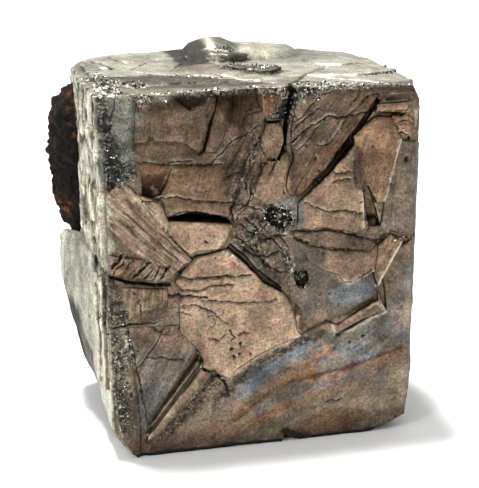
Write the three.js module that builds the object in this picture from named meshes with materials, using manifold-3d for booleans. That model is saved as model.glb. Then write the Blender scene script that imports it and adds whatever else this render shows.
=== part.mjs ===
// A cobaltite specimen: one blocky metallic crystal with stepped growth plates on its faces,
// and a remnant of rusty host rock on its left and rear. Millimetres, +Z up.
// The crystal is worked out with its front face near y = 0, facing -Y, and its foot at z = 0.
// The finished group is then moved so that its origin is at the middle of the footprint.

import * as THREE from 'three';
import Module from 'manifold-3d';
import { mergeVertices } from 'three/addons/utils/BufferGeometryUtils.js';
import { ConvexGeometry } from 'three/addons/geometries/ConvexGeometry.js';

// Driving dimensions
const FRONT_GROUND = 0.6;     // y of the lowest growth surface on the front; plates rise towards y = 0
const LEFT_X = -12.9;         // reference planes of the other faces
const RIGHT_X = 13.3;
const REAR_Y = 19.8;
const TOP_Z = 30.0;
const FOOT_Z = -0.35;         // the flat that the specimen stands on
const BLANK_HEIGHT = 32.0;    // the block before its top and foot are cut
const ROOT = 1.2;             // how far a raised plate goes into the block under it
const CLEAR = 3.0;            // how far a cutting prism reaches past the surface
const EDGE = 0.1;             // usual chamfer on a plate's edges
const ROCK_GAP = 0.3;         // between the crystal and the rock that clings to it
const FAR = 60;               // size of a cutting box, larger than the specimen
const WELD = 1e-4;            // points closer than this are one point

const wasm = await Module();
wasm.setup();
const Solid = wasm.Manifold;

// Closed geometry to solid, and back

function toSolid(geometry) {
  geometry.deleteAttribute('normal');
  geometry.deleteAttribute('uv');
  const welded = mergeVertices(geometry, WELD);
  return new Solid(new wasm.Mesh({
    numProp: 3,
    vertProperties: new Float32Array(welded.attributes.position.array),
    triVerts: new Uint32Array(welded.index.array),
  }));
}

function toGeometry(solid) {
  const mesh = solid.getMesh();
  const geometry = new THREE.BufferGeometry();
  geometry.setAttribute('position', new THREE.Float32BufferAttribute(mesh.vertProperties, 3));
  geometry.setIndex(Array.from(mesh.triVerts));
  geometry.computeVertexNormals();
  return geometry;
}

// Each face has axes of its own: u to the right and v up as it is looked at, w outwards

function faceAxes(u, v, w, origin) {
  const matrix = new THREE.Matrix4().makeBasis(
    new THREE.Vector3(...u), new THREE.Vector3(...v), new THREE.Vector3(...w));
  return matrix.setPosition(...origin);
}

const FACES = {
  front: faceAxes([1, 0, 0], [0, 0, 1], [0, -1, 0], [0, FRONT_GROUND, 0]),
  left: faceAxes([0, -1, 0], [0, 0, 1], [-1, 0, 0], [LEFT_X, 0, 0]),
  right: faceAxes([0, 1, 0], [0, 0, 1], [1, 0, 0], [RIGHT_X, 0, 0]),
  rear: faceAxes([-1, 0, 0], [0, 0, 1], [0, 1, 0], [0, REAR_Y, 0]),
  top: faceAxes([1, 0, 0], [0, 1, 0], [0, 0, 1], [0, 0, TOP_Z]),
};

// A prism over an outline on a face, from one depth to another, its levels leaning by a slope along u and v

function prism(face, outline, from, to, lean, edge) {
  const shape = new THREE.Shape(outline.map(([u, v]) => new THREE.Vector2(u, v)));
  const geometry = new THREE.ExtrudeGeometry(shape, {
    depth: to - from - 2 * edge,
    bevelEnabled: edge > 0,
    bevelThickness: edge,
    bevelSize: edge,
    bevelOffset: -edge,
    bevelSegments: 1,
  });
  geometry.translate(0, 0, from + edge);
  const middleU = outline.reduce((sum, point) => sum + point[0], 0) / outline.length;
  const middleV = outline.reduce((sum, point) => sum + point[1], 0) / outline.length;
  const shear = new THREE.Matrix4().set(
    1, 0, 0, 0,
    0, 1, 0, 0,
    lean[0], lean[1], 1, -lean[0] * middleU - lean[1] * middleV,
    0, 0, 0, 1);
  geometry.applyMatrix4(shear);
  geometry.applyMatrix4(FACES[face]);
  return toSolid(geometry);
}

function raise(solid, face, outline, level, lean = [0, 0], edge = EDGE) {
  return solid.add(prism(face, outline, -ROOT, level, lean, edge));
}

function sink(solid, face, outline, level, lean = [0, 0], edge = 0) {
  return solid.subtract(prism(face, outline, level, level + CLEAR, lean, edge));
}

// A strip of a given width along a line, as an outline

function strip(points, widths) {
  const sides = [[], []];
  points.forEach((point, i) => {
    const before = points[Math.max(i - 1, 0)];
    const after = points[Math.min(i + 1, points.length - 1)];
    const along = new THREE.Vector2(after[0] - before[0], after[1] - before[1]).normalize();
    const half = widths[Math.min(i, widths.length - 1)] / 2;
    sides[0].push([point[0] - along.y * half, point[1] + along.x * half]);
    sides[1].unshift([point[0] + along.y * half, point[1] - along.x * half]);
  });
  return [...sides[0], ...sides[1]];
}

// Everything beyond a plane is cut away

function cutBeyond(solid, point, outward) {
  const normal = new THREE.Vector3(...outward).normalize();
  const box = new THREE.BoxGeometry(FAR, FAR, FAR);
  box.translate(0, 0, FAR / 2);
  box.applyQuaternion(new THREE.Quaternion().setFromUnitVectors(new THREE.Vector3(0, 0, 1), normal));
  box.translate(...point);
  return solid.subtract(toSolid(box));
}

function hull(points) {
  return toSolid(new ConvexGeometry(points.map((point) => new THREE.Vector3(...point))));
}

// The plain block: its plan, and the planes that shape its top, edges and rear

const PLAN = [
  [-12.6, 0.6], [13.05, 0.6], [13.4, 7.5], [13.2, 12.4], [11.9, 15.8], [9.0, 19.0],
  [-2.2, 20.4], [-7.0, 19.5], [-10.9, 18.3], [-13.1, 15.0], [-13.3, 8.0],
];

const TOP_CUTS = [
  { at: [-12.6, 0.6, 29.9], outward: [-0.012, 0.0, 1] },
  { at: [2.0, 0.6, 30.12], outward: [0.04, 0.0, 1] },
  { at: [12.75, 0.6, 29.0], outward: [1, -0.3, 0.55] },
  { at: [12.9, 13.0, 28.8], outward: [0.6, 0.25, 1] },
  { at: [0.0, 19.6, 28.9], outward: [0.07, 0.75, 1] },
  { at: [-13.2, 14.2, 29.7], outward: [-0.8, 0.3, 1] },
];

// These also trim the plates of the front
const FRONT_TRIM = [
  { at: [0, 0, FOOT_Z], outward: [0, 0, -1] },
  { at: [13.1, 0.75, 15.0], outward: [1, -1.1, 0.0] },
  { at: [13.1, 0.6, 3.6], outward: [1, -0.05, -0.16] },
  { at: [-13.0, 9.0, 4.6], outward: [-1, 0.1, -0.4] },
  { at: [-12.3, 6.0, 1.0], outward: [-1, -0.1, -0.75] },
  { at: [-12.0, 0.7, 0.2], outward: [-0.9, -0.4, -0.45] },
  { at: [12.3, 0.8, 0.7], outward: [0.45, -0.3, -1] },
];

const BODY_CUTS = [
  { at: [13.0, 10.0, 1.2], outward: [1, 0.15, -0.7] },
  { at: [0.0, 19.6, 1.8], outward: [0.1, 1, -0.8] },
  { at: [6.0, 19.3, 14.0], outward: [0.12, 1, 0.07] },
  { at: [-6.0, 19.7, 8.0], outward: [-0.2, 1, -0.09] },
  { at: [10.4, 17.2, 20.0], outward: [0.9, 0.7, 0.16] },
];

function cutAll(solid, cuts) {
  return cuts.reduce((rest, cut) => cutBeyond(rest, cut.at, cut.outward), solid);
}

function makeBlock() {
  const plan = new THREE.Shape(PLAN.map(([x, y]) => new THREE.Vector2(x, y)));
  const blank = new THREE.ExtrudeGeometry(plan, { depth: BLANK_HEIGHT, bevelEnabled: false });
  blank.translate(0, 0, -1);
  return cutAll(toSolid(blank), [...FRONT_TRIM, ...BODY_CUTS]);
}

// Front face: [kind, level, outline, lean, edge], the later ones over the earlier ones.
// Levels are above the lowest growth surface. The outlines are in x and z.

const FRONT_STEPS = [
  // broad fields
  ['raise', 0.35, [[-12.6, 30.2], [-12.6, 19.0], [-10.6, 22.9], [-8.2, 19.9], [-2.6, 19.6], [-1.7, 22.5],
    [-0.7, 25.5], [0.1, 27.4], [-0.3, 30.4]]],
  ['raise', 0.35, [[-12.6, 19.4], [-12.6, 11.2], [-7.0, 10.9], [-6.9, 16.4], [-9.6, 19.2]]],
  ['raise', 0.4, [[-12.55, 11.3], [-11.2, 11.3], [-10.9, 8.0], [-10.4, 3.0], [-10.5, -0.9], [-11.3, -0.9],
    [-12.3, 3.0]]],
  ['raise', 0.4, [[-9.9, -0.9], [-9.9, 1.0], [-7.0, 3.6], [-4.4, 6.2], [-2.9, 5.9], [-2.2, 6.8], [0.4, 8.1],
    [3.3, 9.1], [5.6, 10.1], [6.4, 8.7], [8.8, 9.9], [13.4, 11.8], [13.4, -0.9]], [0, 0.03], 0.14],
  ['raise', 0.52, [[-7.4, -0.9], [-3.2, 1.9], [0.6, 4.5], [2.7, 5.3], [7.1, 6.0], [13.4, 7.5], [13.4, -0.9]],
    [0, 0.025], 0.35],
  ['raise', 0.55, [[10.3, 13.9], [11.4, 16.1], [13.4, 16.9], [13.4, 7.3], [11.5, 7.6], [10.9, 10.4]]],

  // upper left: the great panel, the rods right of it and the sunken flag under it
  ['raise', 0.85, [[-10.2, 29.4], [-9.1, 29.9], [-7.6, 29.9], [-5.9, 28.6], [-5.2, 28.9], [-4.1, 29.7],
    [-4.5, 27.7], [-5.1, 25.1], [-6.2, 25.9], [-6.7, 26.1], [-8.7, 26.3], [-9.1, 26.9], [-9.4, 26.2],
    [-10.3, 26.3]], [0.01, -0.03]],
  ['raise', 0.7, [[-3.5, 30.1], [-2.4, 30.2], [-2.6, 28.3], [-3.3, 26.3], [-3.9, 25.1], [-4.8, 25.1],
    [-4.3, 27.3]]],
  ['raise', 0.6, [[-2.1, 30.2], [-0.9, 30.2], [-0.3, 28.3], [-1.4, 28.1], [-2.6, 26.1], [-3.0, 26.5],
    [-2.5, 28.3]]],
  ['raise', 0.5, [[-1.4, 28.0], [0.0, 28.2], [0.0, 27.2], [-1.1, 24.4], [-2.7, 20.2], [-3.6, 21.2],
    [-3.3, 23.3], [-2.6, 26.0]]],
  ['sink', -0.1, [[-4.15, 30.6], [-3.6, 30.6], [-3.9, 28.4], [-4.4, 27.3], [-4.9, 25.1], [-5.2, 25.1],
    [-4.7, 27.3]]],
  ['sink', -0.1, [[-10.0, 24.4], [-7.4, 24.2], [-7.7, 23.3], [-8.3, 21.9], [-9.0, 21.75], [-9.8, 22.1]],
    [0.0, 0.28]],
  ['raise', 0.6, [[-7.4, 24.2], [-3.3, 24.0], [-2.7, 23.0], [-2.4, 21.5], [-2.9, 19.7], [-4.1, 20.1],
    [-6.3, 20.5], [-7.8, 20.1], [-8.2, 21.7], [-7.7, 23.3]], [0.01, -0.03]],

  // the lath band that runs down to the right, the light plate beside it, and the cross-cut block
  ['raise', 0.5, [[-12.4, 21.9], [-10.7, 22.9], [-8.3, 19.4], [-5.9, 16.5], [-6.9, 15.6], [-7.9, 14.9],
    [-11.7, 18.7], [-12.5, 19.5]]],
  ['raise', 0.95, [[-10.1, 22.2], [-9.0, 21.7], [-8.4, 21.6], [-7.8, 20.0], [-2.5, 19.2], [-3.2, 17.4],
    [-3.9, 17.15], [-5.6, 17.1], [-6.0, 16.9], [-8.2, 19.5]], [-0.02, 0.01]],
  ['raise', 0.65, [[-12.5, 17.4], [-9.5, 16.7], [-8.1, 15.9], [-7.9, 14.9], [-8.8, 14.8], [-10.5, 15.2],
    [-12.5, 15.6]], [0.02, 0.03]],
  ['raise', 0.6, [[-11.5, 14.6], [-10.7, 14.5], [-10.0, 12.4], [-11.1, 11.7], [-11.5, 13.3]], [0.1, 0]],
  ['raise', 0.7, [[-10.75, 14.5], [-7.9, 14.2], [-7.9, 12.7], [-8.5, 12.75], [-9.3, 12.55], [-10.05, 12.35]],
    [-0.05, 0.02]],
  ['raise', 0.5, [[-10.0, 12.4], [-8.5, 12.7], [-7.4, 12.5], [-7.6, 11.6], [-9.0, 11.4], [-10.6, 11.6]]],

  // the sunken kite at the lower left, its gutter and the pitted ridge on the far side of it
  ['sink', -0.2, [[-10.6, 11.1], [-7.8, 10.9], [-7.0, 10.5], [-5.6, 8.8], [-5.0, 7.7], [-5.3, 7.0],
    [-7.5, 4.3], [-9.8, 1.5], [-10.0, 4.1], [-10.8, 8.7], [-11.1, 10.7]], [-0.1, 0.08]],
  ['sink', -0.55, [[-5.05, 7.8], [-5.3, 6.95], [-7.5, 4.25], [-9.8, 1.5], [-8.9, 3.1], [-7.7, 4.9],
    [-6.3, 6.9], [-5.8, 7.9]], [-0.4, 0.3]],
  ['raise', 0.7, [[-5.25, 6.95], [-4.4, 6.6], [-4.4, 6.0], [-6.9, 3.5], [-10.0, 0.9], [-9.9, 1.5],
    [-7.5, 4.25]], [-0.08, 0.06], 0.06],

  // the bright centre plate and the groove at its upper right
  ['raise', 0.85, [[-5.6, 16.7], [-2.9, 17.1], [-1.3, 15.6], [0.0, 14.1], [1.5, 13.3], [2.4, 12.1],
    [2.7, 10.9], [3.0, 9.5], [3.35, 9.0], [1.7, 8.55], [0.4, 8.0], [-1.1, 7.3], [-2.2, 6.6], [-2.9, 5.9],
    [-4.3, 6.7], [-5.1, 7.1], [-5.0, 7.7], [-5.6, 8.8], [-7.0, 10.5], [-6.9, 13.6], [-7.3, 14.8]],
    [0.012, 0.015]],
  ['sink', -0.2, [[-3.0, 17.25], [-2.7, 17.5], [-1.0, 15.9], [0.4, 14.4], [1.7, 13.3], [1.5, 13.1],
    [0.0, 14.1], [-1.3, 15.6]]],
  ['sink', -0.1, [[2.8, 11.8], [3.7, 10.9], [3.8, 10.0], [3.4, 9.3], [3.1, 9.6], [2.8, 10.9]], [0.15, 0]],

  // the low star-shaped ground in the middle
  ['raise', 0.3, [[-2.5, 18.9], [-0.5, 19.6], [0.0, 18.6], [-0.3, 17.5], [-1.8, 17.0]], [0.08, -0.05], 0.06],
  ['raise', 0.25, [[-0.2, 17.4], [1.4, 17.8], [2.2, 16.7], [1.7, 15.3], [0.4, 15.0]], [-0.06, 0.05], 0.06],
  ['raise', 0.35, [[-2.3, 20.0], [-0.7, 21.2], [0.2, 20.6], [-0.4, 19.8]], [0.0, 0.1], 0.06],
  ['raise', 0.3, [[-1.7, 16.7], [-0.5, 17.0], [0.1, 15.2], [-0.4, 15.1]], [-0.1, 0.0], 0.06],
  ['sink', -0.9, [[0.4, 20.3], [1.3, 20.25], [2.1, 19.8], [2.4, 19.2], [2.2, 18.6], [1.4, 18.4],
    [0.7, 18.8], [0.2, 19.5]], [0.1, -0.2]],
  ['sink', -0.7, [[2.7, 14.7], [3.8, 14.6], [4.0, 13.8], [3.5, 13.1], [2.9, 13.5]]],

  // plates between the long fissures in the upper middle
  ['raise', 0.75, [[-0.3, 30.2], [1.9, 30.2], [1.6, 29.4], [1.0, 28.7], [0.9, 28.1], [1.4, 27.5],
    [0.2, 27.4], [-0.1, 28.2]], [0.03, 0]],
  ['raise', 0.65, [[0.2, 27.2], [1.4, 27.3], [1.65, 25.8], [1.55, 25.0], [1.0, 24.3], [0.2, 24.5],
    [-0.2, 25.3], [-0.35, 25.9]], [0.02, 0.03]],
  ['raise', 0.72, [[0.3, 24.3], [0.9, 24.1], [1.9, 25.0], [2.1, 24.2], [1.8, 23.0], [1.6, 21.6],
    [1.8, 21.3], [0.5, 20.6], [-0.9, 21.4], [-0.8, 22.4], [-0.1, 23.6]], [-0.02, 0.01]],

  // the long slanting plate at the upper right, its lower step and the gutter along it
  ['raise', 0.55, [[5.4, 29.9], [2.8, 30.1], [2.6, 28.6], [2.3, 26.8], [2.3, 25.5], [3.1, 26.6],
    [3.3, 27.8], [3.8, 28.3]], [0.04, 0.02]],
  ['raise', 0.45, [[3.4, 28.0], [4.9, 29.9], [7.9, 29.5], [9.4, 29.0], [8.8, 27.9], [7.1, 25.7],
    [5.3, 23.3], [3.2, 21.1], [2.2, 21.2], [1.9, 22.0], [2.1, 23.2], [2.5, 24.3], [2.3, 25.4],
    [3.2, 26.6]], [-0.03, 0.02]],
  ['sink', 0.22, [[9.4, 29.0], [8.4, 28.8], [7.1, 27.5], [6.0, 25.8], [5.4, 25.1], [4.4, 25.0],
    [3.5, 23.3], [2.6, 21.3], [3.2, 21.1], [5.3, 23.3], [7.1, 25.7], [8.8, 27.9]], [-0.03, 0.02]],
  ['sink', -0.3, [[9.4, 28.8], [8.7, 27.9], [7.0, 25.7], [5.2, 23.3], [3.0, 21.0], [3.9, 21.4],
    [5.1, 22.5], [5.7, 23.0], [7.5, 24.9], [7.4, 25.6], [8.4, 26.6], [9.2, 27.7], [9.9, 28.3]],
    [-0.45, 0.3]],
  ['sink', -0.05, [[9.4, 28.8], [9.9, 29.0], [12.3, 28.8], [12.1, 28.4], [9.9, 28.3]], [0, 0.3]],

  // the crisp plates right of the gutter
  ['raise', 0.75, [[7.4, 25.0], [7.5, 22.4], [7.7, 21.5], [8.3, 21.5], [8.7, 17.9], [8.1, 17.5],
    [7.1, 17.8], [5.2, 18.3], [4.1, 18.1], [2.9, 18.6], [2.9, 20.5], [3.9, 21.5], [5.7, 23.1]],
    [0.0, 0.015], 0.06],
  ['raise', 0.95, [[7.4, 25.8], [8.4, 26.7], [9.2, 27.3], [10.5, 27.2], [10.9, 26.5], [11.5, 25.3],
    [10.9, 23.0], [10.2, 20.1], [9.6, 20.0], [9.0, 21.2], [8.6, 21.6], [7.75, 21.4], [7.6, 23.0]],
    [0.025, 0.02]],
  ['raise', 0.55, [[11.6, 25.2], [13.4, 24.8], [13.4, 17.2], [10.9, 17.5], [9.9, 16.9], [8.8, 17.6],
    [9.1, 18.2], [10.0, 18.1], [10.3, 20.1], [11.0, 23.0]], [-0.03, 0]],
  ['sink', -0.25, [[8.35, 21.5], [8.8, 21.7], [9.1, 20.9], [9.5, 19.9], [9.9, 18.6], [10.0, 18.1],
    [9.0, 18.15]], [0.05, 0.12]],
  ['raise', 0.85, [[9.3, 28.3], [11.9, 28.3], [12.0, 27.5], [9.2, 27.7]], [0.0, -0.05], 0.06],
  ['raise', 0.72, [[10.6, 27.3], [12.0, 27.4], [12.6, 26.7], [11.0, 26.7]], [0.0, -0.05], 0.06],
  ['raise', 0.66, [[11.0, 26.6], [12.8, 26.6], [12.9, 25.8], [11.9, 25.5], [11.15, 25.8]], [0, -0.05], 0.06],
  ['raise', 0.7, [[7.9, 29.5], [10.2, 29.4], [12.5, 29.2], [12.4, 28.97], [9.6, 29.02], [8.5, 29.0]],
    [0, 0], 0.03],

  // right middle: the shelf with a ragged lower edge, the leaning facet and the hooked bar
  ['raise', 0.62, [[2.5, 18.3], [4.1, 17.95], [5.2, 18.1], [8.1, 17.3], [9.6, 16.9], [7.5, 16.3],
    [5.4, 16.5], [4.2, 17.0], [2.5, 17.8]]],
  ['raise', 0.55, [[2.6, 17.5], [4.2, 16.9], [5.5, 16.4], [7.9, 16.1], [9.2, 16.0], [9.7, 16.5],
    [10.4, 14.7], [9.6, 14.2], [9.0, 13.9], [7.8, 13.4], [6.9, 13.4], [6.5, 14.1], [5.6, 14.4],
    [3.9, 15.4]], [0.02, -0.02]],
  ['sink', -0.1, [[7.8, 16.9], [9.5, 16.6], [9.1, 16.1], [8.0, 16.15]]],
  ['raise', 0.95, [[9.8, 16.5], [10.8, 17.4], [12.0, 16.7], [11.6, 15.9], [10.4, 13.8], [9.9, 12.8],
    [9.5, 13.9]], [-0.05, 0.02], 0.06],
  ['raise', 0.75, [[5.7, 10.0], [6.3, 8.9], [8.8, 10.1], [10.8, 10.6], [10.2, 11.9], [9.9, 12.5],
    [10.0, 11.5], [9.6, 11.5], [7.3, 10.2], [6.5, 9.7]], [0, 0], 0.06],
];

// The granular corner at the upper left: its slope, its deep pit and the small pit below it
const CORNER_STEPS = [
  ['sink', 0.0, [[-13.4, 30.9], [-11.3, 30.9], [-10.2, 29.0], [-10.4, 27.6], [-10.3, 24.8], [-11.4, 24.6],
    [-13.4, 24.6]], [0.34, 0]],
  ['sink', -1.0, [[-13.4, 29.9], [-11.8, 29.7], [-11.9, 28.5], [-11.9, 27.2], [-12.5, 27.1],
    [-13.4, 27.4]], [0.2, 0]],
  ['sink', -0.15, [[-12.5, 24.3], [-11.5, 24.3], [-11.9, 22.7], [-12.4, 22.5]]],
];

// Long open fissures and slots on the front: [level, line, widths]

const FRONT_FISSURES = [
  [-0.9, [[2.75, 31.0], [2.3, 29.2], [1.85, 27.6], [1.75, 25.6], [1.15, 24.1]], [0.75, 0.6, 0.45, 0.3, 0.15]],
  [-0.2, [[0.1, 27.4], [-1.0, 24.4], [-1.8, 22.5], [-2.7, 20.4], [-2.4, 19.3]], [0.15, 0.3, 0.3, 0.3, 0.2]],
  [-0.2, [[0.0, 24.3], [-0.6, 23.2], [-0.95, 22.2], [-1.0, 21.4]], [0.15, 0.3, 0.3, 0.15]],
  [0.1, [[3.8, 10.7], [4.6, 11.5], [5.6, 12.4]], [0.12, 0.18, 0.1]],
  [0.0, [[-9.5, 16.6], [-10.1, 15.9], [-10.7, 15.2]], [0.32, 0.25, 0.1]],
  [0.0, [[-7.9, 16.0], [-8.3, 15.3], [-8.7, 14.7]], [0.2, 0.15, 0.1]],
  [0.1, [[-11.5, 17.3], [-12.0, 16.7], [-12.5, 16.2]], [0.2, 0.2, 0.15]],
  [-0.1, [[-13.0, 15.8], [-12.4, 15.5], [-11.2, 15.0], [-9.0, 14.6], [-7.6, 14.5]],
    [0.12, 0.2, 0.25, 0.2, 0.3]],
  [-1.1, [[-8.2, 19.9], [-7.0, 20.0], [-5.6, 20.1], [-4.0, 19.75], [-2.6, 19.3]], [0.05, 0.3, 0.8, 0.6, 0.1]],
];

// Laths on the slanting band at the left: they run down to the right, side by side

const FRONT_LATHS = {
  start: [-12.1, 19.8], run: [4.2, -4.3], step: [0.4, 0.43], width: 0.3, levels: [0.62, 0.56, 0.68, 0.58],
};
const LATH_EDGE = 0.04;

function addLaths(crystal, face, laths) {
  return laths.levels.reduce((rest, level, i) => {
    const start = [laths.start[0] + i * laths.step[0], laths.start[1] + i * laths.step[1]];
    const end = [start[0] + laths.run[0], start[1] + laths.run[1]];
    return raise(rest, face, strip([start, end], [laths.width]), level, [0, 0], LATH_EDGE);
  }, crystal);
}

function carve(crystal, face, steps) {
  return steps.reduce((rest, [kind, level, outline, lean, edge]) => {
    const work = kind === 'raise' ? raise : sink;
    return work(rest, face, outline, level, lean, edge);
  }, crystal);
}

function carveFront(crystal) {
  const plated = addLaths(carve(crystal, 'front', FRONT_STEPS), 'front', FRONT_LATHS);
  const split = FRONT_FISSURES.reduce(
    (rest, [level, line, widths]) => sink(rest, 'front', strip(line, widths), level), plated);
  return cutAll(split, FRONT_TRIM);
}

// Top face, in x and y: the front terrace is the ground, the rest steps up behind a ledge

const TOP_STEPS = [
  ['raise', 0.15, [[-12.3, 6.2], [-8.0, 5.5], [-4.0, 5.0], [0.7, 3.4], [2.7, 4.2], [5.4, 4.4], [9.0, 4.0],
    [12.5, 5.0], [12.6, 11.0], [11.4, 14.6], [8.2, 17.4], [-2.2, 18.3], [-7.0, 17.9], [-10.4, 16.9],
    [-12.4, 14.0]], [-0.007, 0.0], 0.1],
  ['raise', 0.14, [[-11.4, 3.9], [-7.5, 3.4], [-4.3, 3.6], [0.4, 2.3], [0.7, 3.6], [-4.0, 5.2], [-11.6, 6.4]],
    [0.006, 0.02], 0.06],
  ['raise', 0.28, [[-4.9, 6.0], [-4.6, 10.4], [-2.7, 10.9], [0.2, 9.6], [1.3, 5.6], [0.5, 4.7]],
    [-0.01, 0.01], 0.08],
  ['raise', 0.22, [[-9.9, 10.2], [-7.4, 11.1], [-4.9, 10.4], [-5.1, 7.6], [-7.9, 6.6]], [0.0, -0.01], 0.08],
  ['raise', 0.6, [[-0.9, 8.2], [0.3, 5.8], [2.0, 5.0], [3.3, 6.4], [2.6, 9.2], [-0.6, 9.6]],
    [-0.03, -0.03], 0.1],
  ['raise', 0.95, [[-1.8, 12.2], [-0.2, 11.3], [1.3, 11.9], [2.2, 13.2], [2.0, 16.6], [-1.5, 16.8]],
    [-0.02, 0.03], 0.2],
  ['raise', 0.26, [[6.4, 11.8], [9.2, 13.2], [11.2, 11.3], [11.4, 8.6], [9.0, 7.6], [6.6, 8.6]],
    [-0.02, -0.01], 0.2],
  ['raise', 0.4, [[-6.8, 13.2], [-3.2, 13.6], [-2.6, 17.6], [-6.0, 17.4]], [0.03, 0.0], 0.12],
  ['raise', 0.32, [[-11.2, 12.6], [-8.0, 12.8], [-7.4, 16.8], [-10.0, 16.2]], [0.0, 0.0], 0.1],
  ['sink', 0.02, [[-12.2, 9.2], [-11.2, 11.6], [-10.2, 11.4], [-9.6, 9.5], [-10.4, 8.9]], [0.05, 0.0]],
];

const REAR_LUMP = [
  [-3.6, 12.6, 30.0], [-3.9, 16.2, 30.0], [-2.6, 18.4, 29.6], [-3.2, 13.4, 30.9], [-2.8, 15.6, 31.35],
  [-1.2, 14.2, 31.6], [-1.1, 16.4, 31.7], [0.3, 13.4, 31.3], [0.4, 16.6, 31.6], [-0.6, 11.9, 30.7],
  [0.2, 18.6, 30.2], [-3.4, 13.0, 28.9], [-3.4, 16.0, 28.9], [0.0, 12.4, 28.9], [0.0, 18.2, 28.9],
];

const REAR_RIDGE = [
  [-0.8, 12.6, 30.6], [-0.6, 18.6, 30.0], [0.5, 14.4, 31.5], [0.6, 16.8, 31.5], [3.9, 14.2, 31.1],
  [4.0, 16.8, 31.3], [6.3, 14.6, 30.8], [6.5, 16.5, 30.9], [7.9, 13.8, 29.8], [8.0, 16.6, 29.4],
  [6.8, 18.2, 29.6], [2.0, 18.9, 29.9], [4.2, 12.6, 30.0], [-0.6, 13.0, 28.8], [-0.4, 18.2, 28.8],
  [7.2, 14.2, 28.6], [6.4, 17.8, 28.6],
];

function carveTop(crystal) {
  return carve(crystal, 'top', TOP_STEPS).add(hull(REAR_LUMP)).add(hull(REAR_RIDGE));
}

// Left face: a lobe low at the rear, and long upright flakes in front of the rock

const LEFT_LOBE = [
  [-12.4, 3.2, 15.6], [-13.4, 9.0, 16.6], [-14.6, 12.0, 16.2], [-15.1, 13.4, 15.2], [-15.2, 13.0, 12.6],
  [-14.9, 11.6, 11.2], [-14.3, 10.6, 8.0], [-13.6, 9.6, 4.9], [-12.4, 5.0, 3.0], [-12.4, 2.4, 9.0],
  [-14.6, 16.0, 13.4], [-14.2, 16.2, 8.6], [-12.8, 15.4, 3.4], [-12.0, 17.4, 12.0], [-12.0, 17.0, 6.0],
];

// [distance behind the front, foot, head, width, level]
const LEFT_FLAKES = [
  [1.5, 16.5, 29.8, 1.6, 0.12], [3.2, 19.5, 30.4, 1.9, 0.3], [5.0, 14.5, 30.0, 1.8, 0.42],
  [6.8, 17.5, 30.4, 2.0, 0.62], [8.6, 16.8, 29.4, 1.8, 0.52], [2.0, 5.4, 15.6, 2.0, 0.14],
  [4.3, 5.0, 13.6, 2.0, 0.34],
];
const FLAKE_TAPER = 0.6;
const FLAKE_BOW = [-0.15, 0.1];     // the middle and the head lie this far off the foot's line
const FLAKE_LEAN = [0.03, 0.0];

function carveLeft(crystal) {
  let result = crystal.add(hull(LEFT_LOBE));
  for (const [behind, foot, head, width, level] of LEFT_FLAKES) {
    const middle = (foot + head) / 2;
    const line = [[-behind, foot], [-behind + FLAKE_BOW[0], middle], [-behind + FLAKE_BOW[1], head]];
    const outline = strip(line, [width * FLAKE_TAPER, width, width * FLAKE_TAPER]);
    result = raise(result, 'left', outline, level, FLAKE_LEAN);
  }
  return carve(result, 'front', CORNER_STEPS);
}

// Right face, in y and z: growth plates and a slanting gutter like those of the front

const RIGHT_STEPS = [
  ['raise', 0.3, [[1.6, 1.8], [1.6, 12.6], [6.4, 17.0], [12.0, 12.4], [12.2, 3.0], [7.0, 1.6]],
    [0.01, 0.01], 0.15],
  ['raise', 0.3, [[1.4, 15.0], [1.4, 27.8], [6.8, 27.6], [8.4, 21.2], [5.2, 18.2]], [0.02, -0.01], 0.12],
  ['raise', 0.45, [[3.0, 19.4], [2.4, 26.4], [5.6, 26.2], [6.4, 21.6]], [0.04, 0.01], 0.1],
  ['raise', 0.28, [[8.6, 27.2], [11.6, 26.4], [12.0, 17.2], [9.6, 16.4], [8.8, 20.8]], [-0.06, 0.0], 0.1],
  ['raise', 0.55, [[3.0, 4.2], [3.4, 9.8], [7.6, 12.6], [10.0, 8.4], [8.0, 4.0]], [0.02, 0.03], 0.1],
  ['raise', 0.2, [[9.9, 13.2], [9.6, 15.6], [12.0, 16.4], [12.3, 13.6]], [-0.02, 0.0], 0.1],
  ['raise', -0.6, [[13.0, 5.4], [12.9, 13.0], [14.2, 15.4], [15.2, 12.0], [15.0, 6.4]], [-0.38, 0.0], 0.1],
  ['raise', -0.65, [[13.0, 17.6], [12.9, 25.4], [14.6, 24.6], [15.0, 18.8]], [-0.38, -0.01], 0.1],
  ['sink', -0.45, [[5.0, 18.0], [8.2, 20.8], [9.0, 19.6], [6.8, 17.4]], [0.0, 0.15]],
  ['sink', -0.25, [[7.4, 26.8], [8.2, 26.6], [8.9, 21.2], [8.4, 21.0]]],
  ['sink', -0.2, [[10.4, 8.6], [12.6, 11.0], [12.6, 9.8], [11.0, 7.6]]],
];

const RIGHT_LATHS = {
  start: [1.8, 12.0], run: [4.4, 4.2], step: [0.45, -0.5], width: 0.32, levels: [0.5, 0.42, 0.54],
};

function carveRight(crystal) {
  return addLaths(carve(crystal, 'right', RIGHT_STEPS), 'right', RIGHT_LATHS);
}

// Rear face, in -x and z: broken surfaces that lean different ways, with ledges between them

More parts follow.
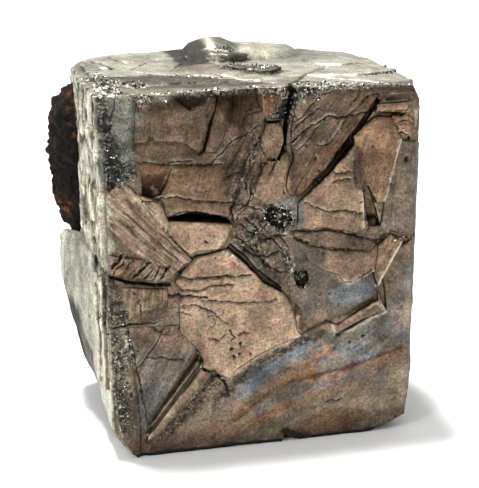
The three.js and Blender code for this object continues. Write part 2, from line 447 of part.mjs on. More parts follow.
const REAR_STEPS = [
  ['raise', -0.5, [[-9.0, 16.4], [-8.6, 27.4], [-2.4, 28.0], [0.6, 24.2], [-2.0, 17.6]], [0.14, -0.09], 0.18],
  ['raise', 0.05, [[-8.4, 3.0], [-8.8, 14.6], [-3.4, 16.4], [-0.8, 9.2], [-3.0, 3.4]], [0.1, 0.01], 0.15],
  ['sink', -0.9, [[-3.6, 16.8], [-1.6, 17.4], [0.8, 23.6], [1.8, 22.8], [0.4, 15.6], [-2.6, 14.6]],
    [0.16, -0.05]],
  ['sink', -1.0, [[-8.2, 15.3], [-5.6, 16.1], [-5.2, 15.4], [-8.0, 14.6]]],
  ['raise', -0.3, [[-7.2, 19.6], [-6.8, 25.6], [-3.6, 25.0], [-3.8, 20.4]], [0.08, -0.05], 0.12],
  ['raise', 0.1, [[0.9, 18.4], [1.3, 27.2], [2.6, 26.8], [3.0, 24.6], [2.4, 18.9]], [0.12, -0.07], 0.1],
  ['raise', 0.72, [[0.6, 3.6], [0.2, 13.2], [1.6, 14.2], [2.6, 12.6], [3.0, 4.4]], [0.0, 0.01], 0.12],
];

// Chips out of the foot's front edge
function chipFoot(crystal) {
  return crystal.subtract(hull([
    [1.5, -1.0, -0.8], [1.6, -1.0, 0.9], [2.4, -1.0, 0.6], [3.7, -1.0, 0.0], [3.9, -1.0, -0.8],
    [1.7, 0.9, -0.8], [2.0, 1.0, 0.1], [3.2, 0.9, -0.8],
  ]));
}

function makeCrystal() {
  let crystal = carveFront(makeBlock());
  crystal = carveLeft(crystal);
  crystal = carveRight(crystal);
  crystal = carve(crystal, 'rear', REAR_STEPS);
  crystal = cutAll(crystal, TOP_CUTS);
  crystal = carveTop(crystal);
  return chipFoot(crystal);
}

// The host rock: a crust round the left rear corner with boulders grown into it, hollowed to the
// crystal with a thin gap. Each boulder is [middle, half sizes].

const CRUST = [
  [[-12.8, 10.9, 17.2], [-13.0, 10.8, 25.4], [-13.6, 12.6, 27.6], [-15.7, 12.8, 25.2], [-15.7, 13.0, 20.8],
    [-15.4, 13.4, 17.8],
    [-14.2, 13.2, 17.0], [-12.4, 17.6, 16.8], [-14.2, 16.6, 20.0], [-14.2, 16.2, 25.0], [-13.2, 16.4, 27.6],
    [-11.2, 16.0, 28.0], [-11.0, 19.2, 26.4], [-10.6, 19.6, 18.0]],
  [[-14.2, 16.4, 19.0], [-12.6, 17.6, 12.8], [-12.2, 19.0, 20.6], [-11.0, 17.0, 26.6], [-9.0, 20.6, 23.6],
    [-5.6, 20.9, 20.4], [-4.4, 19.4, 21.8], [-4.8, 19.4, 13.6], [-7.4, 21.0, 15.6], [-10.8, 20.4, 14.0]],
  [[-12.8, 16.4, 7.0], [-13.2, 17.0, 9.0], [-12.8, 17.2, 13.0], [-11.4, 16.8, 4.2], [-9.8, 20.0, 3.4],
    [-10.8, 20.2, 9.0], [-8.6, 20.9, 14.6], [-6.2, 20.6, 8.6], [-4.6, 19.4, 6.0], [-5.0, 19.4, 13.4]],
];

const BOULDERS = [
  [[-13.4, 13.6, 24.2], [2.2, 3.2, 4.0]],
  [[-13.3, 14.4, 19.2], [1.8, 3.2, 4.3]],
  [[-11.2, 17.6, 22.6], [2.9, 2.8, 5.2]],
  [[-8.0, 19.4, 20.4], [4.0, 1.9, 4.0]],
  [[-9.4, 19.2, 13.6], [4.2, 2.0, 4.4]],
  [[-9.4, 19.0, 7.4], [3.8, 2.0, 4.6]],
  [[-5.8, 19.7, 11.6], [3.0, 1.5, 3.6]],
];
const BOULDER_ROUGHNESS = 0.11;

function makeBoulder(middle, halfSizes) {
  const geometry = new THREE.IcosahedronGeometry(1, 2);
  const place = geometry.attributes.position;
  const point = new THREE.Vector3();
  for (let i = 0; i < place.count; i += 1) {
    point.fromBufferAttribute(place, i);
    const swell = Math.sin(5.1 * point.x + middle[0]) * Math.sin(4.3 * point.y + middle[2])
      + Math.sin(6.7 * point.z + middle[1]) * Math.sin(3.9 * point.x - middle[2]);
    point.multiplyScalar(1 + BOULDER_ROUGHNESS * swell);
    place.setXYZ(i, point.x, point.y, point.z);
  }
  geometry.scale(...halfSizes);
  geometry.translate(...middle);
  return toSolid(geometry);
}

const LOBE_MIDDLE = [-13.0, 11.0, 10.4];
const LOBE_GROWTH = 1.13;
const CORNER_ALLOWANCE = 1.25;      // the gap narrows at the plan's corners, so it starts wider

function grownPlan() {
  const middle = [0, 9];
  const clearance = ROCK_GAP * CORNER_ALLOWANCE;
  return PLAN.map(([x, y], i) => {
    const before = PLAN[(i + PLAN.length - 1) % PLAN.length];
    const after = PLAN[(i + 1) % PLAN.length];
    const along = new THREE.Vector2(after[0] - before[0], after[1] - before[1]).normalize();
    const side = Math.sign((x - middle[0]) * along.y - (y - middle[1]) * along.x);
    return new THREE.Vector2(x + side * along.y * clearance, y - side * along.x * clearance);
  });
}

function makeRock() {
  const boulders = BOULDERS.map(([middle, halfSizes]) => makeBoulder(middle, halfSizes));
  const rock = [...CRUST.map(hull), ...boulders].reduce((joined, lump) => joined.add(lump));
  const hollow = new THREE.ExtrudeGeometry(new THREE.Shape(grownPlan()), { depth: FAR, bevelEnabled: false });
  hollow.translate(0, 0, -FAR / 4);
  const lobe = LEFT_LOBE.map((point) => point.map(
    (value, i) => LOBE_MIDDLE[i] + (value - LOBE_MIDDLE[i]) * LOBE_GROWTH));
  return rock.subtract(toSolid(hollow)).subtract(hull(lobe));
}

function makeMesh(name, solid, color, roughness, metalness) {
  const material = new THREE.MeshStandardMaterial({ color, roughness, metalness });
  const mesh = new THREE.Mesh(toGeometry(solid), material);
  mesh.name = name;
  return mesh;
}

const specimen = new THREE.Group();
specimen.add(makeMesh('cobaltite_crystal', makeCrystal(), '#8a776b', 0.42, 0.9));
specimen.add(makeMesh('rusty_matrix', makeRock(), '#3b2a20', 0.9, 0.0));

const box = new THREE.Box3().setFromObject(specimen);
const footMiddle = box.getCenter(new THREE.Vector3());
specimen.position.set(-footMiddle.x, -footMiddle.y, -box.min.z);
specimen.updateMatrixWorld(true);

export default specimen;
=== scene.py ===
"""The looks of a cobaltite specimen: a tarnished metallic crystal and a remnant of rusty host rock.

Surfaces are shaped in the drawing's own millimetres: the front face near y = 0, facing -Y, the foot
just under z = 0. place_in_frame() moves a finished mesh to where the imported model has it, in metres.
"""

import itertools
import math

import bpy
import numpy as np
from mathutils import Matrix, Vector


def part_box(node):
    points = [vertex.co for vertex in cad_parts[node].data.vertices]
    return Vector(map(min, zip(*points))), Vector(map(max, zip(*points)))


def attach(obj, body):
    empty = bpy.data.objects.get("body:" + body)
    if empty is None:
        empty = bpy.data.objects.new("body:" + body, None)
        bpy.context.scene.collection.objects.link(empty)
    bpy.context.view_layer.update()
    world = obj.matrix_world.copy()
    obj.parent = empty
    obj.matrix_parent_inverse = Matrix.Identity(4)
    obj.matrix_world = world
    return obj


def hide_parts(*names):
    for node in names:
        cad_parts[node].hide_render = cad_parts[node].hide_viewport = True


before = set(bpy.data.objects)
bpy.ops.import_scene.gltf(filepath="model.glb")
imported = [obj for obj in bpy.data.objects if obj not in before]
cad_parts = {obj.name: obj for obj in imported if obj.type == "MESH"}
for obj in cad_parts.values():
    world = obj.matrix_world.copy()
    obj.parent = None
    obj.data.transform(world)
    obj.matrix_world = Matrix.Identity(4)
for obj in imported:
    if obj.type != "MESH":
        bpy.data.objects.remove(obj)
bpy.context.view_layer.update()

MM = 0.001
CRYSTAL_CORNER = np.array([-15.20, -0.45, -0.35])     # the crystal's lowest corner in the drawing
DRAWING_TO_FRAME = np.array(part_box("cobaltite_crystal")[0]) / MM - CRYSTAL_CORNER
FRONT_Y = 0.6           # the lowest growth surface of the front; its plates rise towards y = 0
TOP_Z = 30.0
FOOT_Z = -0.35
HALF_WAY_BACK = 24.0    # that far behind the front, a fine mesh's points are twice as far apart
MIDDLE_Z = 15.0

CRYSTAL_VOXEL = 0.068    # mm between the points on the front
ROCK_VOXEL = 0.11
CRYSTAL_TRIANGLES = 196000
ROCK_TRIANGLES = 60000

PLATE_MIDDLE_Y = 0.1
PLATE_HEIGHT = 0.5      # how much of their height above PLATE_MIDDLE_Y the worn plates of the front keep
LEDGE_Z = 30.2
LEDGE_HEIGHT = 0.75     # and how much of the ledges' height above LEDGE_Z the top keeps
LEFT_EDGE = ([0, 1, 2, 5, 11, 30], [-11.2, -11.6, -12.2, -12.6, -12.8, -12.9])    # the front's z, and x there
# Where grooves between plates are shallower than in the drawing: [left, right, low, high, y of the plates]
SHALLOW_GROOVES = [
    [-6.2, -2.2, 24.0, 30.6, 0.3],
    [-3.2, 1.0, 20.5, 27.6, 0.24],
    [2.2, 9.9, 15.4, 18.9, 0.18],
]
FOOT_SHADOW_BOTTOM = 0.58    # the painted contact shadow along the foot fades out between these two heights, in mm,
FOOT_SHADOW_TOP = 0.78
FOOT_SHADOW_UNEVEN = 0.6     # or up to so much lower here and there

# The inputs of the grains' node tree: [kind, value]
GRAIN_INPUTS = {
    "Grains per square metre": ["NodeSocketFloat", 14e6],
    "Smallest grain": ["NodeSocketFloat", 0.05 * MM],
    "Largest grain": ["NodeSocketFloat", 0.15 * MM],
    "Seed": ["NodeSocketInt", 5],
}
FULL_TURN = 6.28


# Random relief, the same on every run

def hashed(cells, seed):
    """A repeatable value from 0 to 1 for each whole-number cell."""
    cells = cells.astype(np.int64).astype(np.uint64)
    mixed = cells[:, 0] * np.uint64(73856093) ^ cells[:, 1] * np.uint64(19349663)
    mixed = mixed ^ cells[:, 2] * np.uint64(83492791) ^ np.uint64(seed * 2654435761)
    for shift, factor in ((15, 2246822519), (13, 3266489917)):
        mixed = mixed & np.uint64(0xFFFFFFFF)
        mixed = (mixed ^ mixed >> np.uint64(shift)) * np.uint64(factor)
    return (mixed & np.uint64(0xFFFFFF)).astype(float) / 0xFFFFFF


def swell(points, size, seed):
    """Smooth hills and hollows from -1 to 1. Size is how far apart they are, all ways or along x, y and z."""
    scaled = points / np.asarray(size)
    base = np.floor(scaled)
    part = scaled - base
    ease = part * part * (3 - 2 * part)
    total = np.zeros(len(points))
    for corner in itertools.product((0, 1), repeat=3):
        share = np.prod(np.where(corner, ease, 1 - ease), axis=1)
        total += share * (hashed(base + corner, seed) * 2 - 1)
    return total


def roughness(points, size, seed, octaves=4):
    """Swells of halving size and height on top of each other."""
    total = np.zeros(len(points))
    for step in range(octaves):
        total += swell(points, np.asarray(size) / 2 ** step, seed + step) / 2 ** step
    return total


def shifts(points, size, seeds, octaves=1):
    """Uneven shifts side by side, one for each seed."""
    return np.stack([roughness(points, size, seed, octaves) for seed in seeds], axis=1)


def cells(points, size, seed):
    """Packed cells: how much nearer a point is to its own cell's middle than to the next one's, the cell's
    own value and the way to its middle."""
    scaled = points / np.asarray(size)
    base = np.floor(scaled)
    nearest = np.full(len(points), 9.0)
    second = np.full(len(points), 9.0)
    value = np.zeros(len(points))
    way = np.zeros_like(points)
    for corner in itertools.product((-1, 0, 1), repeat=3):
        cell = base + corner
        middle = cell + np.stack([hashed(cell, seed + axis) for axis in range(3)], axis=1)
        distance = np.linalg.norm(scaled - middle, axis=1)
        closer = distance < nearest
        second = np.where(closer, nearest, np.minimum(second, distance))
        value = np.where(closer, hashed(cell, seed + 7), value)
        way = np.where(closer[:, None], middle - scaled, way)
        nearest = np.minimum(nearest, distance)
    return second - nearest, value, way


def pebbles(points, size, seed):
    """Rounded lumps packed together: 1 at a lump's middle, 0 in the joints. Also each lump's own value."""
    margin, value, _ = cells(points, size, seed)
    return np.clip(margin * 2.2, 0, 1), value


def flat_plates(points, size, seed):
    """Flat plates with straight edges, each at a level and a tilt of its own. Also how near the edge is, the
    plate's own value and a direction across its growth lines."""
    margin, value, way = cells(points, size, seed)
    turn = np.stack([np.cos(40 * value), np.sin(57 * value), np.cos(91 * value)], axis=1)
    return value + 0.5 * np.einsum("ij,ij->i", way, turn), margin, value, turn


def terraces(value, steps):
    """The same swells cut into steps, and 1 where their steep risers are."""
    climb = value * steps
    part = climb - np.floor(climb)
    riser = between(part, 0.6, 0.74) * between(part, 1.0, 0.88)
    return (np.floor(climb) + between(part, 0.68, 0.98)) / steps, riser


def upright_flakes(points, width, length, seed):
    """Long flakes side by side: the distances to a flake's side and end in mm, and each flake's own value."""
    across = points[:, 1] / width + 0.5 * swell(points, (9.0, 3.0, 2.4), seed)
    across += 0.25 * swell(points, (9.0, 1.2, 0.8), seed + 1)
    strand = np.floor(across)
    column = np.stack([strand, 0 * strand, 0 * strand], axis=1)
    along = points[:, 2] / length + 5 * hashed(column, seed + 2)
    along += 0.15 * swell(points, (9.0, 0.8, 0.8), seed + 3)
    value = hashed(column + np.stack([0 * along, np.floor(along), 0 * along], axis=1), seed + 4)
    side = 0.5 - np.abs(across - strand - 0.5)
    end = 0.5 - np.abs(along - np.floor(along) - 0.5)
    return side * width, end * length, value


def between(value, low, high):
    """0 below low, 1 above high, eased in between. It also runs downhill where low is above high."""
    part = np.clip((value - low) / (high - low), 0, 1)
    return part * part * (3 - 2 * part)


# Lines and outlines drawn on a face

def along_line(flat, line):
    """Each point's distance to a line, and how far along the line that is, from 0 to 1."""
    line = np.asarray(line, float)
    lengths = np.hypot(*np.diff(line, axis=0).T)
    starts = np.concatenate([[0], np.cumsum(lengths)])
    nearest = np.full(len(flat), np.inf)
    travelled = np.zeros(len(flat))
    for i, length in enumerate(lengths):
        way = (line[i + 1] - line[i]) / length
        offset = flat - line[i]
        reach = np.clip(offset @ way, 0, length)
        distance = np.hypot(*(offset - reach[:, None] * way).T)
        closer = distance < nearest
        nearest = np.where(closer, distance, nearest)
        travelled = np.where(closer, starts[i] + reach, travelled)
    return nearest, travelled / starts[-1]


def around(flat, line, reach):
    """Which points lie in the box around a line or outline, widened by the reach."""
    line = np.asarray(line, float)
    return np.flatnonzero(np.all((flat > line.min(0) - reach) & (flat < line.max(0) + reach), axis=1))


def inside(flat, outline, fade):
    """1 inside an outline, 0 outside, eased over the fade on both sides of its edge."""
    outline = np.asarray(outline, float)
    near = around(flat, outline, fade)
    u, v = flat[near].T
    within = np.zeros(len(near), bool)
    for (au, av), (bu, bv) in zip(outline, np.roll(outline, -1, axis=0)):
        crosses = (av > v) != (bv > v)
        rise = bv - av if bv != av else 1.0
        within ^= crosses & (u < (bu - au) * (v - av) / rise + au)
    distance, _ = along_line(flat[near], np.vstack([outline, outline[:1]]))
    result = np.zeros(len(flat))
    result[near] = between(np.where(within, distance, -distance), -fade, fade)
    return result


# Meshes

def values_of(items, name, width, kind):
    """What a mesh's points or edges hold under that name, one row each."""
    values = np.empty(len(items) * width, kind)
    items.foreach_get(name, values)
    return values.reshape(-1, width)


def points_of(mesh):
    return values_of(mesh.vertices, "co", 3, float)


def normals_of(mesh):
    return values_of(mesh.vertex_normals, "vector", 3, np.float32).astype(float)


def edges_of(mesh):
    return values_of(mesh.edges, "vertices", 2, np.int32)


def set_points(mesh, points):
    mesh.vertices.foreach_set("co", points.astype(np.float32).ravel())
    mesh.update()


def set_attribute(mesh, name, values, kind="FLOAT", field="value"):
    mesh.attributes.new(name, kind, "POINT").data.foreach_set(field, values.astype(np.float32).ravel())


def evaluated(piece):
    """The piece's mesh with its modifiers applied, in place of the old one."""
    graph = bpy.context.evaluated_depsgraph_get()
    made = bpy.data.meshes.new_from_object(piece.evaluated_get(graph))
    piece.modifiers.clear()
    piece.data = made
    return made


def draw_in(mesh):
    """Draws what lies behind the front smaller, so that an even mesh is finest on the front."""
    points = points_of(mesh)
    near = HALF_WAY_BACK / (HALF_WAY_BACK + points[:, 1])
    set_points(mesh, np.stack([points[:, 0] * near, HALF_WAY_BACK * (1 - near),
                               (points[:, 2] - MIDDLE_Z) * near], axis=1))


def draw_out(mesh):
    """Undoes draw_in()."""
    points = points_of(mesh)
    near = 1 - points[:, 1] / HALF_WAY_BACK
    set_points(mesh, np.stack([points[:, 0] / near, HALF_WAY_BACK * (1 / near - 1),
                               points[:, 2] / near + MIDDLE_Z], axis=1))


def fine_copy(node, name, voxel):
    """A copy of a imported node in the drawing's millimetres, with points all over it."""
    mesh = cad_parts[node].data.copy()
    set_points(mesh, points_of(mesh) / MM - DRAWING_TO_FRAME)
    draw_in(mesh)
    piece = bpy.data.objects.new(name, mesh)
    bpy.context.scene.collection.objects.link(piece)
    weld = piece.modifiers.new("weld", "WELD")
    weld.merge_threshold = 1e-4
    remesh = piece.modifiers.new("remesh", "REMESH")
    remesh.mode = "VOXEL"
    remesh.voxel_size = voxel
    evaluated(piece).materials.clear()
    draw_out(piece.data)
    return piece


def thin_out(piece, triangles):
    """Collapses the points that add least to the shape until that many triangles are left."""
    present = sum(len(polygon.vertices) - 2 for polygon in piece.data.polygons)
    draw_in(piece.data)
    decimate = piece.modifiers.new("decimate", "DECIMATE")
    decimate.ratio = min(1.0, triangles / present)
    decimate.use_collapse_triangulate = True
    evaluated(piece)
    draw_out(piece.data)


def smoothed(values, edges, rounds):
    """Values at the points after that many rounds of averaging with the neighbours."""
    count = len(values)
    ends = np.concatenate([edges[:, 0], edges[:, 1]])
    others = np.concatenate([edges[:, 1], edges[:, 0]])
    neighbours = np.bincount(ends, minlength=count) + 1.0
    for _ in range(rounds):
        sums = [np.bincount(ends, values[others, axis], count) for axis in range(values.shape[1])]
        values = (values + np.stack(sums, axis=1)) / neighbours[:, None]
    return values


def place_in_frame(piece):
    set_points(piece.data, (points_of(piece.data) + DRAWING_TO_FRAME) * MM)
    piece.data.shade_smooth()


# The front, in x and z
# Cracks: [width, depth, line]
FRONT_CRACKS = [
    [0.14, 0.15, [[-0.1, 24.6], [-0.2, 23.6], [-0.7, 22.2], [-1.4, 20.6], [-2.4, 19.2]]],
    [0.14, 0.14, [[-0.3, 27.1], [-1.4, 26.4], [-2.7, 25.8], [-4.3, 24.1]]],
    [0.14, 0.14, [[-1.0, 24.9], [-1.9, 23.4], [-3.5, 22.8]]],
    [0.16, 0.16, [[-0.4, 25.8], [-1.4, 24.4], [-1.7, 23.2], [-2.6, 21.2]]],
    [0.12, 0.12, [[-1.2, 26.6], [-1.9, 25.2], [-2.9, 24.0]]],
    [0.12, 0.12, [[-0.8, 24.2], [-1.4, 22.6], [-1.3, 21.6]]],
    [0.12, 0.12, [[4.6, 26.9], [3.6, 25.6], [2.6, 24.9]]],
    [0.12, 0.12, [[2.5, 27.2], [3.4, 27.9], [4.2, 29.0], [5.4, 29.4]]],
    [0.12, 0.12, [[2.2, 26.4], [3.2, 27.2], [4.6, 28.4]]],
    [0.1, 0.1, [[9.9, 27.8], [10.8, 27.6], [12.2, 27.9]]],
    [0.1, 0.1, [[4.6, 22.6], [5.4, 23.4], [6.2, 24.6]]],
    [0.12, 0.15, [[-10.1, 24.7], [-9.2, 24.6], [-8.1, 24.4], [-6.0, 24.3], [-3.3, 24.1]]],
    [0.12, 0.1, [[-8.1, 24.5], [-7.2, 24.6], [-5.8, 24.6]]],
    [0.12, 0.15, [[-9.8, 21.6], [-8.4, 21.7], [-7.1, 21.7], [-5.8, 21.4], [-2.9, 21.0], [-1.6, 20.6],
        [0, 20.2]]],
    [0.14, 0.2, [[2.3, 25.5], [3.2, 26.4], [4.4, 27.1], [5.2, 27.5], [6.7, 27.4], [8.1, 27.6],
        [9.1, 27.7], [11.7, 27.4]]],
    [0.16, 0.2, [[9.4, 29.1], [8.4, 28.9], [7.1, 27.6], [6.0, 25.9], [5.4, 25.2], [4.4, 25.2]]],
    [0.14, 0.14, [[7.9, 29.5], [7.5, 28.8], [7.1, 28.4]]],
    [0.18, 0.2, [[1.2, 27.4], [0.7, 27.4], [0.1, 27.3]]],
    [0.2, 0.25, [[1.7, 26.9], [1.7, 25.8], [1.8, 25.2], [1.0, 24.1], [0.3, 23.0]]],
    [0.14, 0.14, [[5.7, 23.0], [6.3, 22.9], [7.4, 22.9]]],
    [0.14, 0.14, [[3.4, 20.5], [4.5, 20.1], [5.9, 19.5], [6.8, 19.7], [8.4, 19.2]]],
    [0.1, 0.1, [[2.4, 18.3], [4.1, 18.1], [5.2, 18.3], [7.1, 17.7], [8.1, 17.3], [9.7, 16.8],
        [10.5, 17.4]]],
    [0.12, 0.12, [[2.4, 17.7], [4.2, 16.9], [5.4, 16.4], [7.5, 16.2]]],
    [0.28, 0.3, [[-13.7, 16.0], [-12.5, 15.6], [-11.2, 15.0], [-9.0, 14.6], [-8.2, 14.4]]],
    [0.24, 0.25, [[-12.9, 11.5], [-12.5, 11.1], [-11.3, 11.3], [-9.7, 11.3], [-8.8, 11.3]]],
    [0.2, 0.2, [[-6.8, 15.1], [-6.2, 14.9], [-4.0, 14.9], [-1.1, 14.8]]],
    [0.16, 0.15, [[-7.3, 14.5], [-6.9, 14.1], [-5.7, 13.8], [-4.3, 14.2], [-2.4, 14.1]]],
    [0.2, 0.2, [[-7.7, 13.6], [-4.6, 13.2]]],
    [0.14, 0.14, [[-5.2, 13.0], [-4.0, 12.9], [-2.3, 12.6], [0.1, 12.4], [1.2, 12.5]]],
    [0.1, 0.1, [[-6.9, 12.6], [-5.6, 12.7], [-4.8, 12.2], [-3.8, 11.5], [-3.1, 10.7]]],
    [0.14, 0.14, [[-7.2, 11.9], [-6.6, 12.1], [-6.0, 11.7]]],
    [0.14, 0.14, [[-8.2, 10.7], [-8.9, 9.4], [-10.3, 7.5]]],
    [0.1, 0.1, [[-9.3, 10.9], [-7.9, 10.0]]],
    [0.12, 0.12, [[-11.1, 10.7], [-10.8, 8.7], [-10.3, 6.2], [-10.0, 4.1]]],
    [0.12, 0.12, [[-9.7, 8.2], [-8.2, 8.0], [-6.4, 7.5]]],
    [0.3, 0.3, [[-5.0, 6.8], [-4.2, 6.6], [-3.5, 5.9], [-3.0, 4.8]]],
    [0.08, 0.1, [[5.3, 2.9], [6.2, 2.9], [6.9, 3.1]]],
    [0.12, 0.12, [[-10.7, 14.4], [-10.0, 12.3]]],
    [0.2, 0.2, [[1.5, 16.6], [0.4, 16.2], [-0.9, 16.4], [-1.8, 17.2]]],
    [0.16, 0.2, [[-0.2, 18.3], [-0.6, 17.2], [0.2, 15.4], [1.6, 14.7]]],
    [0.16, 0.2, [[-1.9, 19.1], [-0.8, 18.2], [0.9, 17.6], [1.6, 16.6]]],
    [0.14, 0.16, [[-2.3, 18.3], [-1.0, 17.0], [0.6, 15.2]]],
    [0.14, 0.16, [[-0.1, 17.5], [1.1, 17.9], [1.9, 17.9]]],
    [0.16, 0.2, [[-1.5, 19.6], [-0.5, 18.6], [-0.9, 17.9]]],
    [0.14, 0.14, [[4.0, 22.4], [4.7, 22.2]]],
    [0.16, 0.16, [[0.3, 23.9], [-0.2, 23.9]]],
    [0.14, 0.14, [[5.7, 22.1], [7.3, 22.3]]],
    [0.14, 0.14, [[6.6, 13.9], [7.1, 13.2], [8.2, 13.6], [9.4, 14.3]]],
    [0.12, 0.12, [[-4.6, 9.6], [-3.8, 9.4], [-3.2, 9.8]]],
    [0.12, 0.12, [[-2.9, 10.2], [-2.5, 9.5], [-2.7, 9.1]]],
    [0.1, 0.12, [[-2.2, 9.6], [-1.6, 9.9], [-1.2, 9.7]]],
    [0.14, 0.14, [[11.2, 26.8], [11.9, 26.9], [12.6, 26.6]]],
    [0.14, 0.14, [[11.0, 26.4], [11.3, 25.8], [12.1, 25.6]]],
    [0.06, 0.04, [[-4.6, 10.3], [-4.0, 10.9], [-4.2, 11.6], [-4.7, 11.5]]],
]

# Strokes where the growth layers of the hatched block show their edges: short parallel wedges
HATCH_STROKES = [
    [0.36, 0.3, [[-9.3, 16.6], [-10.0, 15.9], [-10.7, 15.2]]],
    [0.24, 0.2, [[-7.7, 16.1], [-8.7, 14.7]]],
    [0.24, 0.2, [[-11.4, 17.3], [-12.4, 16.2]]],
    [0.18, 0.2, [[-11.0, 17.1], [-12.2, 15.8]]],
    [0.16, 0.2, [[-9.0, 15.9], [-9.8, 14.9]]],
    [0.16, 0.2, [[-8.4, 16.0], [-9.2, 14.8]]],
    [0.14, 0.14, [[-10.5, 17.0], [-11.3, 16.1]]],
]
